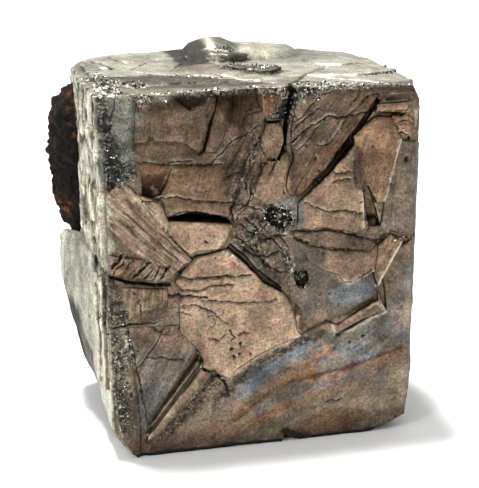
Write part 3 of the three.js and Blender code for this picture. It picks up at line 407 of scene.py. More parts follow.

# Growth plates that differ in finish: [brightness, blue bloom, rust tint, outline]. Brightness is the
# change from the front's usual bronze: -1 is black and 1 twice as bright. Later plates cover earlier ones.
# Among them the slot, the gutters, the groove and the dark triangle are recesses painted dark as shade, and
# the ridge lip is a painted highlight.
FRONT_PLATES = {
    "upper_left_field": [-0.2, 0.05, 0.08, [[-10.4, 30.4], [-0.2, 30.4], [-0.8, 26.0], [-2.4, 21.0],
        [-3.2, 19.6], [-8.4, 21.8], [-10.3, 22.4]]],
    "great_panel": [0.02, 0.0, 0.05, [[-9.9, 28.6], [-9.3, 29.1], [-7.6, 29.5], [-5.9, 28.6],
        [-4.8, 29.0], [-4.7, 27.7], [-5.1, 25.1], [-6.2, 26.0], [-8.7, 26.3], [-10.3, 26.3]]],
    "dark_triangle": [-0.74, 0.12, 0.05, [[-7.6, 30.4], [-3.9, 30.4], [-4.7, 29.1], [-5.9, 28.5],
        [-6.9, 29.2]]],
    "dark_rod_heads": [-0.68, 0.0, 0.2, [[-3.9, 30.4], [-0.5, 30.4], [-0.1, 28.1], [-1.2, 27.4],
        [-2.0, 26.9], [-3.0, 27.5], [-3.8, 28.8]]],
    "maroon_flag": [-0.8, 0.1, 0.35, [[-9.9, 24.2], [-7.6, 24.0], [-8.3, 21.95], [-9.0, 21.8],
        [-9.7, 22.0]]],
    "flag_head": [-0.4, 0.0, 0.35, [[-9.9, 24.4], [-7.5, 24.2], [-7.7, 23.6], [-9.8, 23.7]]],
    "plate_above_slot": [-0.1, 0.0, 0.12, [[-7.5, 24.2], [-3.3, 24.0], [-2.4, 21.5], [-2.9, 19.7],
        [-6.3, 20.5], [-8.2, 21.7]]],
    "lath_field": [0.62, 0.02, 0.03, [[-12.4, 22.6], [-10.6, 23.0], [-5.9, 16.5], [-7.9, 14.9],
        [-12.5, 19.5]]],
    "light_lath": [0.8, 0.0, 0.02, [[-10.9, 22.9], [-10.0, 22.2], [-5.9, 16.7], [-6.3, 16.3],
        [-10.4, 21.9], [-11.2, 22.6]]],
    "plate_below_slot": [1.15, 0.0, 0.05, [[-10.1, 22.2], [-8.9, 21.7], [-7.8, 20.0], [-2.5, 19.2],
        [-3.9, 17.1], [-6.0, 16.9]]],
    "slot": [-0.93, 0.0, 0.1, [[-7.9, 19.9], [-7.1, 20.0], [-6.4, 20.45], [-5.2, 20.4], [-4.2, 20.05],
        [-3.2, 19.9], [-2.6, 19.2], [-4.2, 19.55], [-6.0, 19.65]]],
    "hatched_block": [0.25, 0.0, 0.08, [[-12.5, 17.4], [-9.5, 16.7], [-7.9, 14.9], [-12.5, 15.6]]],
    "small_block": [0.1, 0.0, 0.06, [[-11.5, 14.6], [-7.9, 14.2], [-7.9, 12.6], [-10.6, 11.7],
        [-11.4, 11.8]]],
    "block_steps": [-0.3, 0.0, 0.0, [[-10.0, 12.5], [-7.9, 12.7], [-7.3, 11.9], [-8.8, 11.4],
        [-10.3, 11.6]]],
    "column_ground": [-0.45, 0.0, 0.1, [[-12.9, 15.2], [-11.6, 14.8], [-11.3, 11.4], [-12.9, 11.3]]],
    "kite": [-0.1, 0.3, 0.05, [[-10.8, 11.1], [-7.2, 10.8], [-5.6, 8.8], [-5.2, 7.6], [-9.6, 1.6],
        [-10.2, 4.6], [-10.8, 8.7]]],
    "kite_head": [0.02, 0.08, 0.08, [[-10.5, 11.2], [-7.0, 11.0], [-5.6, 8.6], [-8.1, 8.1], [-9.3, 9.6],
        [-10.2, 8.8]]],
    "kite_foot": [-0.12, 0.5, 0.0, [[-10.3, 6.4], [-8.4, 5.6], [-7.6, 4.6], [-9.8, 1.6], [-10.6, 2.4],
        [-10.8, 5.4]]],
    "kite_gutter": [-0.62, 0.1, 0.1, [[-5.0, 7.9], [-5.3, 7.0], [-7.5, 4.3], [-9.9, 1.4], [-9.1, 3.0],
        [-7.8, 4.9], [-6.4, 6.9], [-5.8, 7.9], [-5.4, 8.8]]],
    "ridge_lip": [0.75, 0.0, 0.05, [[-5.2, 6.95], [-4.6, 6.7], [-7.2, 3.9], [-9.9, 1.1], [-9.9, 1.5],
        [-7.5, 4.25]]],
    "centre_plate": [0.85, 0.0, 0.05, [[-5.6, 16.7], [-2.9, 17.1], [-1.3, 15.6], [0.0, 14.1], [1.5, 13.3],
        [2.5, 11.0], [3.3, 9.0], [0.4, 8.0], [-2.9, 5.9], [-4.3, 6.8], [-5.1, 7.1], [-5.4, 8.6],
        [-7.0, 10.5], [-7.3, 14.8]]],
    "block_shade": [0.15, 0.0, 0.0, [[-7.7, 14.6], [-6.7, 14.3], [-6.6, 11.2], [-7.3, 10.6], [-7.7, 12.0]]],
    "star_ground": [0.18, 0.06, 0.0, [[-2.7, 17.5], [-0.2, 20.6], [2.6, 20.0], [2.6, 17.4], [2.5, 15.6],
        [3.7, 13.0], [3.9, 11.0], [2.6, 12.4], [0.4, 14.4]]],
    "groove": [-0.65, 0.1, 0.1, [[-3.1, 17.1], [-2.6, 17.5], [-1.0, 15.9], [0.4, 14.45], [1.7, 13.3],
        [1.5, 13.1], [0.0, 14.1], [-1.3, 15.5]]],
    "groove_slope": [-0.5, 0.3, 0.0, [[-2.4, 17.5], [-1.9, 17.6], [1.5, 14.2], [1.9, 13.3], [0.4, 14.4],
        [-1.0, 15.9]]],
    "dark_leaf": [-0.5, 0.0, 0.15, [[2.8, 11.8], [3.7, 10.9], [3.9, 10.0], [3.4, 9.2], [3.0, 9.6],
        [2.8, 10.9]]],
    "speckled_sliver": [-0.12, 0.0, 0.05, [[-1.3, 28.0], [0.0, 28.2], [-0.9, 24.4], [-2.7, 20.2],
        [-3.4, 21.2]]],
    "top_tile": [-0.2, 0.0, 0.3, [[-0.4, 30.2], [1.9, 30.2], [0.9, 28.1], [0.1, 27.6]]],
    "middle_tiles": [0.2, 0.0, 0.1, [[0.2, 27.2], [1.6, 27.2], [1.6, 21.4], [0.5, 20.6], [-0.9, 21.4],
        [-0.3, 25.9]]],
    "below_fissure": [0.45, 0.05, 0.1, [[1.2, 23.8], [2.1, 24.0], [2.2, 21.4], [1.4, 20.8], [-0.4, 20.8],
        [-0.6, 21.6], [0.4, 22.6]]],
    "left_of_slant": [-0.02, 0.0, 0.1, [[2.4, 27.6], [3.3, 29.0], [5.3, 29.6], [3.6, 26.6], [2.3, 25.4]]],
    "slanting_plate": [-0.25, 0.02, 0.06, [[4.6, 29.9], [9.4, 29.1], [6.2, 24.8], [3.2, 21.1],
        [2.2, 21.2], [2.3, 25.4]]],
    "lower_step": [-0.36, 0.0, 0.2, [[9.4, 29.0], [8.4, 28.8], [7.1, 27.5], [6.0, 25.8], [5.4, 25.1],
        [4.4, 25.0], [3.5, 23.3], [2.6, 21.3], [3.2, 21.1], [5.3, 23.3], [7.1, 25.7], [8.8, 27.9]]],
    "upper_bar": [-0.3, 0.0, 0.1, [[9.0, 29.3], [12.6, 29.2], [12.4, 28.3], [9.6, 28.3]]],
    "long_gutter": [-0.55, 0.0, 0.15, [[9.3, 28.9], [8.6, 27.8], [7.0, 25.6], [5.2, 23.2], [3.0, 20.6],
        [3.5, 20.7], [5.1, 22.4], [5.8, 23.1], [7.4, 24.8], [7.5, 25.8], [8.4, 26.8], [9.2, 27.8],
        [9.9, 28.5]]],
    "right_gutter": [-0.5, 0.1, 0.1, [[9.4, 28.8], [9.9, 29.0], [12.3, 28.9], [12.2, 28.5], [9.9, 28.4]]],
    "kite_plate": [0.46, 0.0, 0.06, [[5.8, 23.1], [7.4, 24.9], [7.5, 21.5], [8.2, 21.4], [8.7, 17.9],
        [8.1, 17.4], [2.9, 18.4], [2.9, 20.4]]],
    "amber_plate": [0.12, 0.0, 0.22, [[7.5, 25.8], [9.2, 27.3], [10.6, 27.2], [11.4, 25.3], [10.2, 20.1],
        [9.0, 21.2], [7.75, 21.4]]],
    "amber_shade": [-0.45, 0.1, 0.1, [[7.6, 25.4], [8.2, 24.4], [8.4, 22.4], [9.0, 21.2], [8.4, 21.2],
        [7.6, 21.6], [7.4, 23.0]]],
    "side_slot": [-0.5, 0.1, 0.1, [[8.3, 21.4], [9.0, 21.2], [10.0, 18.2], [9.0, 18.1]]],
    "side_slot_pit": [-0.92, 0.0, 0.0, [[8.9, 19.2], [9.7, 19.0], [10.0, 18.2], [8.9, 18.2]]],
    "corner_tiles": [0.55, 0.0, 0.15, [[9.3, 28.3], [11.9, 28.3], [12.5, 27.3], [12.8, 25.8],
        [11.2, 25.6], [10.7, 27.2], [9.3, 27.5]]],
    "right_strip": [0.08, 0.12, 0.0, [[11.6, 25.2], [13.4, 24.8], [13.4, 17.2], [10.9, 17.5], [9.9, 16.9],
        [9.6, 18.0], [10.3, 20.1]]],
    "grey_saddle": [0.0, 0.45, 0.0, [[1.4, 21.0], [3.2, 20.9], [3.4, 18.5], [2.7, 18.4], [2.5, 19.9],
        [0.9, 20.6]]],
    "slate_field": [-0.27, 0.25, 0.0, [[2.4, 17.2], [5.4, 16.2], [5.6, 14.2], [6.8, 13.2], [9.6, 14.0],
        [10.2, 12.4], [7.4, 10.4], [5.8, 10.2], [5.2, 11.4], [3.8, 10.0], [3.0, 13.0]]],
    "shelf": [0.2, 0.08, 0.12, [[5.3, 16.5], [9.7, 16.5], [10.4, 14.7], [9.4, 14.1], [7.1, 13.1],
        [6.6, 13.8], [5.5, 14.4]]],
    "leaning_facet": [0.3, 0.0, 0.15, [[9.8, 16.5], [10.8, 17.3], [12.0, 16.6], [9.9, 12.8]]],
    "hook_bar": [0.1, 0.05, 0.15, [[5.7, 10.0], [6.3, 8.9], [8.8, 10.1], [10.8, 10.6], [10.2, 11.9],
        [9.9, 12.5], [9.6, 11.5], [7.3, 10.3]]],
    "under_bar": [-0.3, 0.3, 0.0, [[5.2, 9.2], [6.3, 8.9], [8.8, 10.1], [10.8, 10.6], [11.0, 9.6],
        [8.2, 8.0], [5.4, 8.0]]],
    "slate_bloom": [-0.08, 0.75, 0.0, [[6.2, 12.9], [8.4, 13.5], [9.8, 12.9], [9.8, 12.2], [8.4, 11.4],
        [6.6, 11.1], [5.6, 11.9]]],
    "bottom_maroon": [-0.3, 0.1, 0.3, [[3.2, 1.5], [5.4, 2.3], [8.4, 2.2], [9.6, 1.0], [6.8, -0.2],
        [3.4, -0.6], [2.0, -0.2]]],
    "chip": [-0.75, 0.0, 0.05, [[1.5, 0.9], [2.2, 1.0], [3.6, 0.1], [3.4, -0.6], [1.6, -0.6]]],
    "lower_left_maroon": [-0.2, 0.25, 0.35, [[-10.9, 1.0], [-6.2, 1.6], [-3.6, 0.9], [-4.2, -0.6],
        [-10.6, -0.6]]],
}

SMOOTH_CORNER = [[-9.9, -0.9], [-2.9, 5.6], [3.3, 8.8], [13.6, 11.4], [13.6, -0.9]]
SHATTERED_STRIP = [[-3.8, 24.3], [-3.3, 21.0], [-2.4, 20.2], [-1.0, 22.4], [0.3, 24.4], [-0.2, 27.2],
                   [-2.6, 26.4]]

# Fine growth lines that run one way over a plate: [direction, amount, outline]
FRONT_STREAKS = [
    [(0.87, 0.5), 0.45, SMOOTH_CORNER],
    [(0.14, 0.99), 0.5, [[-10.2, 29.4], [-6.0, 29.4], [-5.2, 25.4], [-10.2, 26.3]]],
    [(0.24, 0.97), 0.75, [[-5.0, 30.4], [-0.4, 30.4], [-0.2, 26.0], [-2.4, 20.2], [-6.6, 22.4],
        [-5.2, 26.0]]],
    [(0.42, 0.91), 1.1, SHATTERED_STRIP],
    [(0.61, 0.79), 0.75, [[4.6, 30.2], [9.8, 29.2], [3.2, 20.9], [2.2, 21.2], [2.3, 25.4]]],
    [(0.3, 0.95), 0.5, [[0.0, 27.2], [1.7, 27.0], [1.6, 21.4], [0.5, 20.6], [-0.9, 21.4], [-0.3, 25.9]]],
    [(0.98, -0.2), 0.4, [[2.6, 20.0], [8.6, 21.0], [8.6, 17.8], [3.0, 18.2]]],
    [(0.2, 0.98), 0.5, [[7.4, 25.8], [9.2, 27.4], [11.4, 25.3], [10.2, 20.1], [7.6, 21.4]]],
    [(0.05, 1.0), 0.5, [[11.6, 25.2], [13.4, 24.8], [13.4, 17.2], [10.9, 17.5], [10.3, 20.1]]],
    [(-0.7, 0.71), 1.5, [[-12.6, 22.6], [-10.6, 23.1], [-5.9, 16.5], [-7.9, 14.9], [-12.6, 19.0]]],
    [(0.75, 0.66), 1.6, [[-12.6, 17.4], [-9.5, 16.7], [-7.9, 14.9], [-12.6, 15.6]]],
    [(0.1, 1.0), 1.4, FRONT_PLATES["small_block"][-1]],
    [(0.5, 0.87), 0.8, [[-10.8, 11.1], [-7.2, 10.8], [-5.2, 7.6], [-9.6, 1.6], [-10.6, 3.0]]],
    [(0.97, 0.24), 0.4, [[-5.6, 16.7], [-2.9, 17.1], [1.5, 13.3], [3.3, 9.0], [-2.9, 5.9], [-7.0, 10.5]]],
    [(0.7, 0.7), 0.8, [[-4.6, 6.2], [-3.8, 5.6], [-9.6, 0.6], [-10.0, 1.2]]],
    [(0.6, 0.8), 0.9, [[-2.6, 18.4], [-0.2, 20.4], [2.2, 17.4], [3.4, 13.4], [0.4, 14.8]]],
    [(0.9, 0.44), 0.9, [[5.7, 10.0], [6.3, 8.9], [10.8, 10.6], [9.9, 12.5]]],
    [(0.5, 0.87), 0.9, FRONT_PLATES["leaning_facet"][-1]],
]

# Where the crystal is shattered by hair-thin cracks: [amount, outline]
FRONT_CRACKLE = [
    [0.15, SMOOTH_CORNER],
    [1.3, [[-3.0, 18.6], [-0.4, 20.8], [2.4, 20.2], [2.6, 15.4], [3.7, 13.0], [2.4, 12.6], [0.4, 14.4],
        [-2.0, 17.4]]],
    [1.4, SHATTERED_STRIP],
    [1.1, [[-13.0, 15.2], [-7.2, 14.6], [-7.0, 11.4], [-12.9, 11.2]]],
    [1.0, [[-4.4, 6.4], [-3.8, 5.4], [-9.6, 0.2], [-9.8, 1.0]]],
    [1.0, [[0.2, 30.2], [5.4, 30.2], [3.2, 26.0], [1.2, 24.4], [0.2, 27.4]]],
    [0.8, [[7.4, 18.6], [11.8, 18.6], [11.8, 16.0], [7.4, 15.6]]],
    [1.2, [[-13.0, 30.0], [-10.4, 29.7], [-10.2, 24.4], [-11.4, 22.4], [-13.0, 22.4]]],
]

# Soft light and dark lines: [half width, change of brightness, line]. Many are painted shade and light:
# shadows below the top edge, under raised plate edges and in grooves, and highlights along edges
FRONT_SHADES = [
    [0.7, -0.45, [[-10.2, 28.9], [-9.4, 28.5], [-8.6, 28.8], [-7.0, 29.1], [-5.4, 29.4], [-4.0, 29.6]]],
    [0.8, -0.4, [[-4.0, 29.7], [-2.0, 29.7], [0.4, 29.8], [1.8, 29.9]]],
    [0.5, -0.3, [[3.0, 29.4], [6.0, 29.5], [9.0, 29.3], [12.4, 29.5]]],
    [0.3, -0.55, [[-10.4, 26.0], [-9.3, 26.1], [-8.9, 26.5], [-8.7, 26.1], [-6.8, 26.0], [-6.2, 25.7],
        [-5.2, 25.0]]],
    [0.3, -0.5, [[-9.2, 26.3], [-8.9, 27.0]]],
    [0.25, -0.45, [[-6.25, 25.9], [-6.2, 26.7]]],
    [0.42, -0.3, [[-3.5, 29.9], [-4.1, 27.9], [-4.6, 26.1], [-5.0, 25.1]]],
    [0.5, -0.35, [[-2.5, 28.9], [-2.9, 27.2], [-3.4, 25.7], [-4.0, 24.9]]],
    [0.45, -0.4, [[-1.4, 27.6], [-2.1, 25.6], [-2.9, 23.6], [-3.0, 21.6]]],
    [0.3, 0.4, [[-4.0, 27.2], [-4.4, 25.3]]],
    [0.3, 0.3, [[-2.6, 28.0], [-3.1, 26.2]]],
    [0.5, -0.35, [[-10.1, 29.2], [-10.4, 27.3], [-10.3, 24.8]]],
    [0.6, -0.35, [[-8.4, 21.4], [-7.9, 20.4], [-8.0, 19.9]]],
    [0.12, -0.3, [[-11.3, 21.6], [-9.8, 20.0], [-7.4, 17.2]]],
    [0.12, -0.3, [[-12.1, 20.6], [-10.4, 18.9], [-8.6, 16.9]]],
    [0.35, -0.5, [[-5.4, 16.9], [-6.4, 15.6], [-7.4, 14.9], [-8.0, 14.5]]],
    [0.5, -0.4, [[-5.4, 10.1], [-5.2, 8.6], [-4.9, 7.6]]],
    [0.3, -0.35, [[-7.2, 10.9], [-5.9, 9.4], [-5.3, 8.4]]],
    [0.2, -0.3, [[11.9, 25.0], [11.3, 22.6], [10.7, 20.2]]],
    [0.25, -0.4, [[9.3, 27.5], [11.0, 27.4], [11.6, 26.9]]],
    [0.25, -0.4, [[5.6, 10.1], [7.3, 10.5], [9.6, 11.7], [9.9, 12.4]]],
    [0.25, -0.5, [[7.7, 16.6], [9.1, 16.3], [9.4, 16.7]]],
    [0.9, 0.3, [[-5.3, 4.6], [-2.8, 6.4], [0.0, 7.9], [3.2, 9.0]]],
    [0.55, -0.35, [[-9.4, 0.6], [-6.6, 2.9], [-3.6, 5.0], [-1.0, 6.3], [2.0, 7.8], [5.0, 9.0]]],
    [0.6, 0.3, [[12.7, 20.0], [12.7, 13.0], [12.7, 7.7], [12.2, 2.1]]],
    [0.5, -0.25, [[-10.9, 0.4], [-10.8, 3.0], [-10.6, 6.0]]],
    [0.3, -0.35, [[1.1, 29.9], [1.0, 28.6], [0.4, 27.6]]],
    [0.35, -0.4, [[2.9, 20.9], [2.5, 22.0], [2.2, 23.2]]],
]

# Edges that are rubbed bright, with painted highlights on them: [half width, amount, line]
FRONT_LIPS = [
    [0.09, 0.35, [[-8.9, 22.6], [-8.6, 21.9]]],
    [0.1, 0.5, [[-11.0, 22.7], [-9.5, 21.1], [-6.5, 17.3]]],
    [0.08, 0.3, [[-11.6, 21.0], [-10.4, 19.7], [-9.2, 18.3]]],
    [0.08, 0.3, [[-12.0, 20.0], [-10.6, 18.6], [-9.6, 17.4]]],
    [0.1, 0.6, [[-5.3, 7.0], [-7.5, 4.35], [-9.8, 1.6]]],
    [0.09, 0.6, [[3.0, 10.6], [3.1, 9.6], [3.5, 9.0]]],
    [0.1, 0.5, [[8.1, 21.2], [8.6, 18.0]]],
    [0.1, 0.6, [[11.4, 25.4], [10.9, 23.0], [10.3, 20.4]]],
    [0.09, 0.5, [[9.6, 28.3], [11.9, 28.4]]],
    [0.1, 0.7, [[11.9, 16.7], [10.4, 13.9], [9.9, 12.8]]],
    [0.1, 0.6, [[6.0, 9.7], [6.3, 8.8], [7.9, 9.2], [9.6, 10.1], [10.8, 10.4], [10.0, 11.4]]],
    [0.08, 0.4, [[6.0, 9.7], [7.8, 10.3], [9.9, 11.4]]],
    [0.12, 0.5, [[12.7, 28.2], [12.8, 26.4]]],
    [0.09, 0.5, [[6.6, 13.8], [7.2, 13.1], [8.4, 13.6], [9.5, 14.2]]],
    [0.08, 0.5, [[-3.2, 17.0], [-2.4, 16.4], [-1.6, 15.6]]],
    [0.08, 0.35, [[-6.0, 16.8], [-2.9, 17.1]]],
    [0.08, 0.35, [[3.2, 9.0], [0.0, 7.7], [-2.8, 6.1]]],
]

# Where the tarnish is thin and the silvery metal shows through: [amount, brightness, blue bloom, outline]
FRONT_SILVER = [
    [0.85, -0.4, 0.4, [[-13.6, 29.8], [-10.4, 29.7], [-9.75, 28.7], [-9.9, 27.6], [-10.5, 26.7],
        [-10.5, 25.8], [-10.0, 24.8], [-10.8, 23.8], [-11.4, 22.9], [-13.6, 22.4]]],
    [0.9, -0.3, 0.0, [[-13.6, 30.4], [-12.2, 30.2], [-10.9, 29.8], [-8.7, 29.5], [-6.6, 29.75],
        [-4.0, 30.0], [-4.0, 30.6], [-13.6, 30.6]]],
    [0.8, -0.1, 0.0, [[-13.6, 22.6], [-12.5, 22.2], [-12.45, 15.8], [-13.6, 15.8]]],
]

# Zones of fine broken grains: [lump size, height, share of bright grains, brightness, outline]
GRANULAR_ZONES = {
    "left_column": [0.24, 0.12, 0.2, -0.66, [[-12.7, 11.0], [-11.9, 11.1], [-11.4, 8.7], [-11.2, 5.4],
        [-11.1, 2.4], [-11.5, 1.2], [-12.1, 2.2], [-12.5, 5.0]]],
    "column_line": [0.24, 0.08, 0.3, -0.5, [[-11.6, 13.2], [-11.2, 13.0], [-11.1, 10.6], [-10.8, 8.6],
        [-11.2, 7.2], [-11.5, 9.0]]],
    "column_head": [0.3, 0.1, 0.1, -0.5, [[-13.0, 15.2], [-11.9, 14.7], [-11.6, 13.2], [-11.3, 11.5],
        [-12.9, 11.3]]],
    "corner_hollow": [0.3, 0.14, 0.12, -0.72, [[-12.9, 29.8], [-12.2, 30.0], [-12.0, 28.4], [-12.1, 27.0],
        [-12.7, 26.8], [-12.9, 28.0]]],
    "corner_pit": [0.3, 0.16, 0.14, -0.75, [[-12.6, 26.6], [-11.8, 26.8], [-11.5, 24.6], [-12.4, 24.2]]],
    "corner_foot": [0.3, 0.14, 0.16, -0.6, [[-12.6, 24.4], [-10.4, 24.6], [-10.0, 23.6], [-11.3, 22.8],
        [-12.4, 22.6]]],
    "pitted_ridge": [0.26, 0.1, 0.0, -0.2, [[-4.6, 6.2], [-3.8, 5.6], [-5.8, 3.6], [-8.0, 1.4],
        [-9.6, 0.6], [-7.0, 3.6]]],
    "dark_seam": [0.24, 0.07, 0.0, -0.34, [[-1.2, 25.6], [-0.3, 26.6], [-0.3, 25.2], [-1.0, 23.6],
        [-1.9, 21.4], [-2.6, 20.2], [-2.5, 21.8], [-1.7, 23.8]]],
    "vug": [0.34, 0.2, 0.7, -0.9, [[0.1, 20.5], [1.4, 20.5], [2.4, 19.8], [2.5, 18.6], [1.4, 18.1],
        [0.1, 19.0]]],
    "small_vug": [0.3, 0.16, 1.0, -0.8, [[1.4, 16.8], [2.0, 16.7], [2.8, 15.1], [2.5, 14.6], [1.8, 15.6]]],
    "notch": [0.34, 0.2, 0.3, -0.85, [[1.9, 30.6], [3.4, 30.4], [2.8, 29.0], [2.5, 28.0], [2.2, 26.8],
        [1.3, 27.2], [0.7, 28.0], [1.5, 28.9]]],
    "notch_crumbs": [0.34, 0.16, 1.2, -0.85, [[3.0, 30.4], [5.4, 30.2], [4.4, 29.4], [3.2, 29.0]]],
    "tile_crumbs": [0.34, 0.16, 1.2, -0.8, [[-0.2, 30.4], [1.8, 30.4], [1.5, 29.3], [0.4, 29.3]]],
    "corner_crumbs": [0.36, 0.14, 1.5, -0.6, [[-10.3, 30.2], [-8.6, 29.8], [-9.5, 28.9]]],
    "pit": [0.3, 0.14, 0.5, -0.85, [[2.7, 14.6], [3.8, 14.5], [3.9, 13.6], [3.4, 13.1], [2.8, 13.5]]],
    "ridge_flank": [0.24, 0.06, 0.0, -0.3, [[-4.4, 4.4], [-2.2, 6.0], [0.2, 7.4], [3.2, 8.8], [5.6, 9.4],
        [5.4, 8.7], [2.8, 8.2], [0.2, 6.8], [-1.8, 5.4], [-4.2, 3.6]]],
    "star_grains": [0.26, 0.06, 0.02, 0.05, [[-2.6, 18.2], [-0.4, 20.4], [0.8, 19.0], [0.4, 16.6],
        [-0.4, 16.2], [-1.9, 17.6]]],
}

# Bands of coloured tarnish that run down to the left over the lower right: [spread, amount, line]
ORANGE_BANDS = [
    [0.55, 0.55, [[-2.4, 2.9], [-0.6, 3.7], [1.1, 5.0], [3.3, 5.5], [4.2, 5.1]]],
    [0.5, 0.4, [[-1.1, 1.5], [1.2, 2.7], [3.6, 3.5], [6.5, 4.3], [9.5, 5.3], [12.3, 6.6]]],
    [0.5, 0.85, [[4.2, 6.4], [5.0, 7.0], [5.7, 7.4]]],
    [0.5, 0.75, [[5.5, 4.9], [6.7, 5.3], [7.9, 5.7]]],
    [0.4, 0.5, [[7.6, 5.8], [8.5, 6.3]]],
    [0.7, 0.3, [[-6.4, 0.6], [-3.6, 1.4], [-1.0, 3.2]]],
    [0.6, 0.35, [[-1.5, 4.3], [0.4, 4.6], [2.6, 4.5]]],
]
BLUE_BANDS = [
    [0.8, 0.75, [[-1.8, 4.6], [1.2, 6.4], [3.3, 7.7], [4.6, 8.4]]],
    [1.0, 0.7, [[5.8, 6.4], [8.3, 7.2], [9.8, 7.5], [11.6, 8.8]]],
    [0.5, 0.6, [[-0.6, 2.6], [1.4, 3.7], [3.6, 4.3], [6.0, 4.7], [8.6, 5.2], [10.6, 4.6]]],
    [0.7, 0.45, [[10.4, 10.4], [12.4, 11.8], [12.6, 14.0]]],
    [0.6, 0.3, [[-3.6, 3.4], [-2.0, 4.0]]],
]

# Small round pits: [x, z, radius]
PIT_DOTS = [
    [8.7, 8.5, 0.16], [7.6, 8.0, 0.16], [6.3, 7.5, 0.12], [12.1, 23.6, 0.24], [12.2, 25.4, 0.18],
    [-2.7, 8.5, 0.14], [-1.8, 8.8, 0.14], [-1.1, 7.9, 0.14], [-2.5, 7.7, 0.16], [-2.0, 8.0, 0.14],
    [6.4, 24.7, 0.14], [4.6, 23.0, 0.12], [10.7, 21.7, 0.12], [8.2, 20.2, 0.1], [9.0, 24.9, 0.1],
    [5.1, 16.0, 0.1], [-4.1, 16.5, 0.12], [-4.7, 17.9, 0.12], [4.3, 24.2, 0.16], [3.5, 25.3, 0.12],
]

# Grains of fresh metal that catch the light one by one along a line: [half width, amount, line]
FRONT_GLINTS = [
    [0.16, 0.9, [[-10.3, 29.5], [-9.4, 29.0], [-8.6, 29.3]]],
    [0.12, 0.5, [[-8.6, 29.3], [-7.0, 29.6], [-5.4, 29.8], [-4.0, 30.0]]],
    [0.16, 1.0, [[1.9, 19.9], [2.4, 19.3], [2.3, 18.7]]],
    [0.22, 1.0, [[3.2, 14.2], [3.3, 13.8]]],
    [0.16, 0.8, [[4.8, 11.5], [5.0, 11.9]]],
    [0.16, 0.8, [[5.5, 12.3], [5.7, 12.6]]],
    [0.2, 1.0, [[11.6, 17.0], [11.8, 16.9]]],
    [0.2, 1.0, [[12.2, 16.9], [12.4, 16.7]]],
    [0.14, 0.9, [[-3.2, 17.0], [-2.4, 16.4], [-1.6, 15.6]]],
    [0.16, 0.6, [[-7.7, 14.5], [-7.3, 14.6]]],
    [0.16, 0.6, [[-8.8, 12.2], [-8.2, 12.3]]],
]

# Where the front edge of the top is broken to crumbs: [x, half width, amount]
EDGE_CRUMBS = [
    [-9.4, 0.9, 0.9], [-4.6, 1.4, 0.3], [0.6, 1.2, 0.8], [4.2, 1.8, 0.9], [8.0, 3.0, 0.6], [12.2, 1.2, 0.8],
]

# The top, in x and y. Cracks and growth lines: [width, depth, line]
TOP_STROKES = [
    [0.34, 0.12, [[-11.6, 4.2], [-8.3, 4.0], [-4.0, 3.0], [-1.0, 2.4], [1.2, 1.9]]],
    [0.3, 0.1, [[-11.2, 4.9], [-7.3, 4.8], [-4.0, 3.8], [-1.0, 2.9]]],
    [0.4, 0.16, [[-12.2, 6.6], [-9.4, 6.6], [-6.6, 6.8], [-4.0, 5.1], [-1.0, 3.4], [0.6, 2.4]]],
    [0.24, 0.08, [[-9.9, 3.2], [-7.0, 2.9], [-3.5, 2.3], [-0.5, 2.0]]],
    [0.24, 0.08, [[-8.4, 6.0], [-5.6, 5.6], [-3.0, 4.4], [-1.2, 3.4]]],
    [0.24, 0.1, [[-3.6, 6.8], [-2.0, 5.0], [-1.0, 3.9]]],
    [0.3, 0.12, [[-11.5, 6.6], [-10.3, 5.4], [-9.0, 4.6], [-8.5, 4.1]]],
    [0.6, 0.16, [[-12.2, 17.0], [-11.2, 13.6], [-10.2, 11.2]]],
    [0.45, 0.14, [[-9.9, 16.0], [-9.2, 13.1], [-8.7, 12.0]]],
    [0.3, 0.1, [[-10.9, 15.6], [-10.0, 13.4]]],
    [0.3, 0.1, [[-9.0, 9.1], [-7.7, 11.7], [-6.4, 13.5]]],
    [0.3, 0.12, [[-5.7, 8.3], [-4.9, 10.2], [-4.2, 11.4]]],
    [0.24, 0.1, [[-5.2, 8.2], [-4.5, 9.8]]],
    [0.3, 0.12, [[-8.6, 8.2], [-7.6, 7.4], [-6.6, 7.0]]],
    [0.26, 0.25, [[2.4, 1.0], [3.7, 3.0], [4.6, 4.5], [6.6, 6.2], [7.4, 7.4]]],
    [0.2, 0.14, [[4.6, 4.5], [6.6, 3.4], [8.6, 2.2], [10.2, 1.0]]],
    [0.2, 0.1, [[3.9, 3.6], [5.5, 5.5], [7.5, 7.9]]],
    [0.3, 0.1, [[8.6, 10.2], [10.6, 9.2], [11.6, 5.9]]],
    [0.24, 0.1, [[-12.6, 2.4], [-11.6, 1.8], [-10.9, 0.9]]],
]

